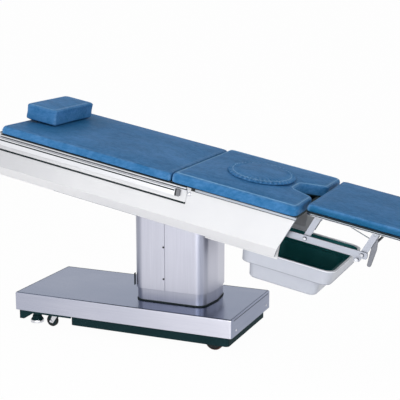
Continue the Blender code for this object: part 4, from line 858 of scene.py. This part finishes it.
def metal_work():
    """Every rigid node in its finish, with the fitter's broken edges where it shows."""
    eased("base_cover", "steel", 0.0060, 5)
    for node, width in (("column_cover_foot", 0.0007), ("column_cover_head", 0.0007), ("column_sleeve", 0.0006)):
        eased(node, "column", width)
    painted("column_gasket", "rubber")
    for node in ("side_cover_right", "side_cover_left", "head_cover"):
        eased(node, "housing", 0.0007)
    pairs = (("back_skirt_", "housing", 0.0007), ("back_rail_", "rail", 0.0008), ("seat_trim_", "trim", 0.0008),
             ("leg_bar_", "bar", 0.0008), ("rear_link_", "bar", 0.0008), ("front_link_", "bar", 0.0008),
             ("latch_rod_", "trim", 0.0003), ("lock_knob_", "bolt", 0.0006), ("caster_fork_", "bright", 0.0005))
    for side, _ in SIDES:
        for node, kind, width in pairs:
            eased(node + side, kind, width)
        painted("basin_runner_" + side, "housing")
        painted("frame_beam_" + side, "chassis")
        wheels(side)
    for node, kind, width in (("release_handle", "handle", 0.0008), ("leg_frame", "leg_frame", 0.0006),
                              ("bed_plate", "chassis", 0.0008), ("counterweight", "casting", 0.0015)):
        eased(node, kind, width)
    for node in ("seat_deck", "back_deck", "head_cross_member", "back_cross_member", "seat_cross_member",
                 "foot_cross_member", "column_head", "tilt_gearbox", "tilt_motor", "lift_cylinder"):
        painted(node, "chassis")
    for node in ("tilt_shaft", "lift_rod", "carriage_tie"):
        painted(node, "bright")


def wheels(side):
    """Levelling foot, caster wheel and fixed wheel of one side, each with its metal and its dark stretch."""
    foot = eased("levelling_foot_" + side, "bright", 0.0006)
    axis = middle_of("levelling_foot_" + side)
    two_tone(foot, "chassis", lambda at, way: (at - axis).xy.length < 0.0165 and at.z > 0.0115)
    cone = turned_head(((0.0255, 0.0108), (0.0245, 0.0128), (0.0195, 0.0200), (0.0185, 0.0250), (0.0185, 0.0275),
                        (0.0165, 0.0290)), 32)
    cone.data.transform(Matrix.Translation((axis.x, axis.y, 0)))
    cone.data.materials.append(FINISH["chassis"])
    cone.name, cone.hide_render = "foot_nut_" + side, False
    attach(cone, "foot_" + side)
    for node, kind, hub, centre in (("caster_wheel_", "black", 0.010, "chassis"),
                                    ("fixed_wheel_", "tyre", 0.030, "black")):
        wheel = eased(node + side, kind, 0.0010)
        axle = middle_of(node + side)
        two_tone(wheel, centre, lambda at, way: (at - axle).xz.length < hub)


def basin(welt):
    """Basin with dark green inside faces, a rolled rim painted paler as painted light, and dark beads painting the
    shadow lines under the rim and at the tier.
    """
    piece = eased("basin", "basin", 0.0012)
    turned = FLAT.to_3x3()
    points = np.array([FLAT @ vert.co for vert in piece.data.vertices])
    middle, top = (points.min(0) + points.max(0)) / 2, points.max(0)[2]

    def inside(at, way):
        here, way = FLAT @ at, turned @ way
        inward = way.x * (middle[0] - here.x) + way.y * (middle[1] - here.y)
        return here.z < top - 0.0055 and (inward > 0.002 or way.z > 0.7)

    # the inside faces take the dark green finish
    two_tone(piece, "dark_inside", inside)
    # painted light: the rim's top made paler against the shade under the table
    two_tone(piece, "lit_basin_rim", lambda at, way: (FLAT @ at).z > top - 0.0040)
    bm = merged("basin", FLAT)
    # a rolled rim in painted light, and two dark beads that paint the shadow lines under the rim and at the tier's
    # step
    for name, level, inset, radius, kind in (("rim_roll", top - 0.0024, 0.0019, 0.0024, "lit_basin_rim"),
                                             ("rim_line", top - 0.0066, 0.0004, 0.0010, "basin_shade"),
                                             ("tier_line", top - 0.0550, 0.0004, 0.0012, "basin_shade")):
        ring = evenly(outline_at(bm, level + 0.0004), 0.006)
        path = []
        for k, point in enumerate(ring):
            ahead = (ring[(k + 1) % len(ring)] - ring[k - 1]).normalized()
            path.append((point.x - ahead.y * inset, point.y + ahead.x * inset, level))
        bead(welt, "basin_" + name, [path], radius, 0.005, kind, "drain_basin")
    bm.free()


def trims():
    """Painted shadow and highlight strips under the mattresses, painted shadow lines on the rail, skirt and seat
    trim, end stops, a dark strip on the column, seam strips and lips.
    """
    rail, rail_end = level_box("back_rail_right")
    skirt, skirt_end = level_box("back_skirt_right")
    trim, trim_end = level_box("seat_trim_right")
    head, top = level_box("back_mattress")[0].x - 0.001, skirt_end.z + 0.0001
    # strips standing for the deck's edge, painting the shadow gaps and highlights along it
    for k, (kind, proud, thick) in enumerate((("rubber", 0.0102, 0.0041), ("bright", 0.0115, 0.0049),
                                              ("rubber", 0.0095, 0.0040), ("bright", 0.0092, 0.0043))):
        layer = mirrored((head, skirt.y - proud, top - thick), (skirt_end.x - 0.0005, rail_end.y, top))
        strip("deck_edging_%d" % k, layer, kind, "back", 0.0004, TABLE)
        top -= thick + 0.0001
    # painted shade: a dark strip along the rail's middle for the shade of a groove
    groove = mirrored((rail.x + 0.0015, rail.y - 0.0003, rail_end.z - 0.0084),
                      (rail_end.x - 0.0015, rail.y + 0.0004, rail_end.z - 0.0036))
    strip("rail_groove", groove, "rubber", "back", 0.0002, TABLE)
    # painted shadow: a dark strip along the skirt's lower edge for the shadow gap under it
    seal = mirrored((skirt.x + 0.0005, skirt.y + 0.0001, skirt.z - 0.0068),
                    (skirt_end.x - 0.0005, skirt_end.y + 0.0007, skirt.z - 0.0002))
    strip("skirt_seal", seal, "rubber", "back", 0.0004, TABLE)
    for name, kind, start, stop in (("rail_end_edge", "black", 0.0002, 0.0040),
                                    ("rail_end_stop", "stop", 0.0041, 0.0160)):
        ends = mirrored((rail_end.x + start, rail.y + 0.0020, rail.z + 0.0017),
                        (rail_end.x + stop, rail_end.y - 0.0002, rail_end.z - 0.0006))
        strip(name, ends, kind, "back", 0.0012, TABLE)
    caps = mirrored((trim.x - 0.0160, trim.y - 0.0002, trim.z + 0.0007),
                    (trim.x - 0.0005, trim_end.y + 0.0001, trim_end.z - 0.0008))
    strip("trim_end_cap", caps, "black", "table", 0.0010, TABLE)
    # painted shadow: dark lines along the top and foot of the seat trim
    lines = []
    for low, high in ((trim_end.z - 0.0025, trim_end.z - 0.0002), (trim.z + 0.0004, trim.z + 0.0023)):
        lines += mirrored((trim.x + 0.0005, trim.y - 0.0004, low), (trim_end.x - 0.0005, trim.y + 0.0003, high))
    strip("seat_trim_lines", lines, "rubber", "table", 0.0002, TABLE)
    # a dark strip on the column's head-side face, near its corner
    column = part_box("column_cover_head")[0]
    dark_strips = mirrored((column.x - 0.0008, column.y + 0.012, column.z + 0.0060),
                       (column.x + 0.0009, column.y + 0.024, column.z + 0.0535))
    strip("column_buffer", dark_strips, "rubber", "column", 0.0005)
    base, base_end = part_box("base_cover")
    seams = [((x, base.y + 0.022, base_end.z - 0.0092), (x + 0.0008, base_end.y - 0.022, base_end.z - 0.0070))
             for x in (base_end.x - 0.0002, base.x - 0.0006)]
    strip("base_end_seams", seams, "rubber", "base", 0.0003)
    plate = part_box("bed_plate")[0]
    lips = mirrored((plate.x + 0.0704, plate.y + 0.0004, base.z - 0.0095),
                    (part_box("counterweight")[0].x + 0.004, plate.y + 0.0085, base.z + 0.0012))
    strip("bed_plate_lips", lips, "chassis", "base", 0.0008)


def beads(welt):
    """Round beads: edges of the housing, a painted shadow line at the column opening, seam of the base, seal of the
    leg frame, a dark strip along each rear link.
    """
    cover, cover_end = level_box("side_cover_right")
    out, flange, bottom = -0.0008 - cover.y, 0.0002 - cover_end.y, cover.z + 0.0008
    knee, toe, opening = (0.4976, -0.0698), 0.4812, (-0.420, -0.060)
    for name, y in SIDES:
        edge = [(cover_end.x + 0.0006, y * out, cover_end.z - 0.0018), (knee[0], y * out, knee[1]),
                (toe, y * flange, bottom)]
        bead(welt, "housing_edge_" + name, [edge], 0.0011, 0.004, "trim", "table", closed=False)
    # painted shadow: a dark bead along the housing's edge by the column, where the column enters its shade
    hems = [[(x, y * flange, bottom) for x in opening] for _, y in SIDES]
    bead(welt, "column_opening_edge", hems, 0.0013, 0.01, "trim", "table", closed=False)
    low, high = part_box("base_cover")
    inset = 0.0058
    head, foot, right, left = low.x + inset, high.x - inset, low.y + inset, high.y - inset
    seam = [(x, y, high.z) for x, y in ((head, right), (foot, right), (foot, left), (head, left))]
    bead(welt, "base_top_seam", [seam], 0.0007, 0.01, "rubber", "base", Matrix())
    top = level_box("leg_frame")[1].z
    bm = merged("leg_frame", FLAT)
    ring = evenly(outline_at(bm, top - 0.0057), 0.006)
    bm.free()
    for name, drop, radius, kind in (("seal", 0.0029, 0.0030, "rubber"), ("groove", 0.0095, 0.0013, "rubber"),
                                     ("lip", 0.0119, 0.0008, "bright")):
        path = [(p.x, p.y, top - drop) for p in ring]
        bead(welt, "leg_frame_" + name, [path], radius, 0.006, kind, "leg_section")
    # a dark bead along each rear link's edge
    lean = radians(19.4)
    along, across = Vector((sin(lean), 0, cos(lean))), Vector((cos(lean), 0, -sin(lean)))
    middle = FLAT @ middle_of("rear_link_right")
    dark_strips = []
    for _, y in SIDES:
        start = Vector((middle.x, -y * middle.y, middle.z)) + across * 0.0114
        dark_strips.append([start + along * 0.002, start + along * 0.038])
    bead(welt, "link_buffers", dark_strips, 0.0021, 0.0042, "rubber", "rear_links", closed=False)


def fasteners():
    """Screws, bolts and axle caps, one mesh for each row, on the body that carries it."""
    screws = fastener_recipe()
    pan = turned_head(((1.0, 0.0), (1.0, 0.25), (0.86, 0.62), (0.55, 0.86), (0.34, 0.90), (0.30, 0.45), (0.04, 0.42)))
    cap = turned_head(((1.0, 0.0), (1.0, 0.72), (0.90, 0.95), (0.60, 1.0), (0.55, 0.40), (0.06, 0.36)))

    def rows(name, body, head, radius, height, places, matrix, kind="bright"):
        values = {"Head": head, "Radius": radius, "Height": height}
        made_by(name, point_mesh(places), screws, values, kind, body, matrix)

    def both(face, places):
        """Places on a face of the right side, given by its Y, and on its mirror image; the heads face outward."""
        return [((x, y * (-face - SUNK), z), (0, y, 0)) for _, y in SIDES for x, z in places]

    trim, trim_end = level_box("seat_trim_right")
    rows("trim_screws", "table", cap, 0.0072, 0.0060, both(trim_end.y, [(trim.x - 0.0225, trim.z - 0.0148)]), TABLE)
    plate, plate_end = level_box("head_cover")
    rows("cover_screws", "table", pan, 0.0045, 0.0026,
         [((plate.x + SUNK, y * (plate_end.y - 0.0547), z), (-1, 0, 0))
          for _, y in SIDES for z in (plate_end.z - 0.016, plate.z + 0.0157)], TABLE)
    runner, runner_end = level_box("basin_runner_right")
    spots = [(x, runner_end.z - drop) for x in (runner.x + 0.015, runner_end.x - 0.015) for drop in (0.0117, 0.0477)]
    rows("runner_screws", "table", pan, 0.0045, 0.0028, both(runner.y, spots), TABLE)
    bar, bar_end = level_box("leg_bar_right")
    spots = [(bar_end.x - back, bar_end.z - 0.0120) for back in (0.225, 0.019)]
    rows("bar_bolts", "carriage", cap, 0.0062, 0.0034, both(bar.y, spots), TABLE, "bolt")
    base, base_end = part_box("base_cover")
    rows("base_screws", "base", pan, 0.0046, 0.0026,
         [((x, y * (base_end.y - 0.046), base.z + 0.021), (way, 0, 0))
          for x, way in ((base_end.x - SUNK, 1), (base.x + SUNK, -1)) for _, y in SIDES], Matrix())
    column, column_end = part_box("column_cover_head")
    levels = np.linspace(column.z + 0.0466, column_end.z - 0.0404, 3)
    rows("column_screws", "column", pan, 0.0040, 0.0022,
         both(column.y, [(column_end.x - 0.0047, z) for z in levels]), Matrix(), "black")
    for side, y in SIDES:
        axle, fork = middle_of("caster_wheel_" + side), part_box("caster_fork_right")
        rows("caster_axle_" + side, "caster_" + side, cap, 0.0052, 0.0034,
             [((axle.x, y * (-fork[0].y - SUNK), axle.z), (0, y, 0)),
              ((axle.x, y * (-fork[1].y + SUNK), axle.z), (0, -y, 0))], Matrix())
        axle, face = middle_of("fixed_wheel_" + side), -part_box("fixed_wheel_right")[0].y - SUNK
        rows("wheel_cap_" + side, "roller_" + side, cap, 0.0085, 0.0040,
             [((axle.x, y * face, axle.z), (0, y, 0))], Matrix(), "black")
    for head in (pan, cap):
        bpy.data.objects.remove(head)


def upholstery(welt):
    """The five cushions, filled together, then seamed and laid on the table."""
    pockets = {"inner": 0.135, "outer": 0.172, "start": 0.0345, "short": 0.0625, "top": 0.0966, "low": 0.0915}
    back = Cushion("back_mattress", 0.0066, pockets=pockets)
    seat = Cushion("seat_mattress", 0.0060)
    leg = Cushion("leg_mattress", 0.0060)
    pillow = Cushion("pillow", 0.0040)
    pad = Cushion("seat_pad", 0.0042, cap=0.006, crown=0.006)
    pillow.high[0] += 0.006
    cushions = [back, seat, leg, pillow, pad]
    for cushion in cushions:
        cushion.fill(pressure=4.0)
    for step in range(CLOTH_FRAMES):
        bpy.context.scene.frame_set(step + 1)
    for cushion in cushions:
        cushion.finish_off()
    for cushion, ends, corner in ((back, (-1, 1), 0.015), (seat, (-1,), 0.015), (leg, (-1, 1), 0.016),
                                  (pillow, (-1, 1), 0.014)):
        for end in ends:
            cushion.square_end(end, corner)
    for cushion, radius in ((back, 0.015), (seat, 0.015), (leg, 0.011), (pillow, 0.013)):
        cushion.sharpen(radius, power=4.0)
    for cushion, depth in ((back, 0.0022), (seat, 0.0020), (leg, 0.0020), (pillow, 0.0022)):
        cushion.draw_in(depth)
    pillow.tuck_under(height=0.0075, depth=0.020)
    folds = {pad: pad.pleat(pitch=0.019, depth=0.0060, reach=0.036)}
    # the seat's, pillow's and pad's welts in the paler vinyl, a painted highlight along their edges
    for cushion, radius, kind in ((back, 0.0009, "vinyl"), (seat, 0.0021, "welt_highlight"), (leg, 0.0009, "vinyl"),
                                  (pillow, 0.0008, "welt_highlight"), (pad, 0.0016, "welt_highlight")):
        gap = cushion.crease(cushion.rim(), width=0.006, depth=0.0006)
        cushion.mark_wear_and_highlight(gap, reach=0.013, ridges=folds.get(cushion, 0.0))
        bead(welt, cushion.node + "_welt", [cushion.rim()], radius, 0.006, kind, BODY_OF[cushion.node])
    # painted shadow: a dark bead under the pillow's edge where its contact shadow falls
    middle = Vector((pillow.low + pillow.high)[:2] / 2)
    under = [(*(middle + (p - middle) * 0.90), pillow.low[2] + 0.0032) for p in pillow.outline]
    bead(welt, "pillow_base_seam", [evenly(under, 0.006)], 0.0040, 0.006, "rubber", "back")
    corner_seams(back)
    # painted shade: the back's cover darker round the pillow as its cast shadow, the leg's sides darker below their
    # top
    _, apart = pillow.along_outline(back.points())
    back.note("deep", np.clip(1.25 - apart / 0.12, 0, 1) * 0.62)
    leg.note("deep", np.clip((leg.high[2] - 0.010 - leg.points()[:, 2]) / 0.010, 0, 1) * 0.75)
    for cushion, fill in ((back, 0.9), (seat, 0.85), (leg, 0.9), (pillow, 0.85), (pad, 0.7)):
        cushion.hand_over(fill)


def corner_seams(back):
    """Upright seams where the back mattress's cover is closed, one on each long side, with their stitches."""
    tree, paths, sewn = back.tree(), [], []
    place, apart = back.high[0] - 0.0155, 0.0045
    for _, side in SIDES:
        for shift, rows in ((0.0, paths), (apart, sewn), (-apart, sewn)):
            row = []
            for level in np.linspace(back.low[2] + 0.004, back.high[2] - 0.006, 12):
                start = Vector((place + shift, side * 0.4, level))
                hit, normal, _, _ = tree.ray_cast(start, Vector((0, -side, 0)))
                if hit is not None:
                    row.append(hit + normal * ON_TOP)
            rows.append(row)
    for row in paths:
        back.crease(row, width=0.006, depth=0.0014)
    values = {"Step": 0.0042, "Length": 0.0015, "Thread": 0.00045}
    made_by("back_seam_stitches", line_mesh(sewn, False), stitch_recipe(), values, "thread", "back", TABLE)


def mix_finishes():
    """All the finishes of the table, by the name that the pieces ask for."""
    FINISH.update({
        "steel": brushed_sheet("brushed_steel", (5, 620, 620), (0.150, 0.186, 0.290),
                               painted_top_shade=0.68, painted_end_shade=0.53, gloss=0.16, painted_light_toward_foot=0.45),
        # painted light on the column's ends, painted shade on its corners and on the sleeve below its hem
        "column": brushed_sheet("column_steel", (620, 620, 5), (0.165, 0.187, 0.262),
                                painted_end_shade=-0.12, painted_corner_shade=0.38, hem=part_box("column_cover_foot")[0].z),
        "bright": bright_steel("bright_steel", (0.50, 0.51, 0.54), (0.72, 0.725, 0.76)),
        "rail": bright_steel("rail_steel", (0.72, 0.73, 0.77), (0.85, 0.86, 0.89)),
        "bar": drawn_bar("satin_aluminium", (0.06, 0.066, 0.083), (0.325, 0.342, 0.392), metal=0.7, edge=0.9),
        "bolt": drawn_bar("bolt_steel", (0.05, 0.056, 0.07), (0.50, 0.51, 0.55), metal=0.9, edge=1.0),
        "handle": drawn_bar("handle_steel", (0.03, 0.034, 0.042), (0.155, 0.161, 0.184), metal=0.8, edge=0.9),
        "trim": drawn_bar("trim_steel", (0.20, 0.22, 0.25), (0.36, 0.39, 0.43)),
        "housing": housing_enamel(),
        "chassis": enamel("chassis_enamel", (0.004, 0.024, 0.029), (0.008, 0.034, 0.040), 0.55, 0.08),
        "casting": ballast(),
        "rubber": moulding("seal_rubber", (0.004, 0.010, 0.012), (0.011, 0.021, 0.024), 0.62, 0.00008),
        "black": moulding("black_moulding", (0.008, 0.011, 0.012), (0.020, 0.023, 0.025), 0.55, 0.00005),
        "stop": moulding("end_stop", (0.150, 0.155, 0.170), (0.230, 0.236, 0.255), 0.5, 0.00005),
        "tyre": moulding("tyre_rubber", (0.050, 0.018, 0.015), (0.090, 0.032, 0.025), 0.62, 0.00008),
        "dark_inside": enamel("basin_lining", (0.012, 0.135, 0.140), (0.024, 0.180, 0.186), 0.5, 0.14),
        "basin": basin_plastic("basin_plastic", (0.485, 0.508, 0.580), (0.540, 0.563, 0.635)),
        # a paler copy of the basin plastic, painted light on the rim
        "lit_basin_rim": basin_plastic("basin_rim_plastic", (0.78, 0.80, 0.86), (0.84, 0.86, 0.92)),
        "basin_shade": moulding("basin_shade", (0.29, 0.31, 0.36), (0.36, 0.38, 0.44), 0.5, 0.00004),
        "vinyl": vinyl("blue_vinyl", (0.008, 0.116, 0.290), (0.080, 0.250, 0.530)),
        # paler vinyl for welts, a painted highlight along the sewn edges
        "welt_highlight": vinyl("piping_vinyl", (0.130, 0.320, 0.560), (0.230, 0.450, 0.690)),
        "thread": moulding("sewing_thread", (0.06, 0.17, 0.35), (0.10, 0.24, 0.45), 0.6, 0.00003)})
    FINISH["leg_frame"] = FINISH["trim"]


def main():
    aim_camera()
    studio()
    mix_finishes()
    metal_work()
    welt = welt_recipe()
    basin(welt)
    trims()
    beads(welt)
    fasteners()
    upholstery(welt)


main()
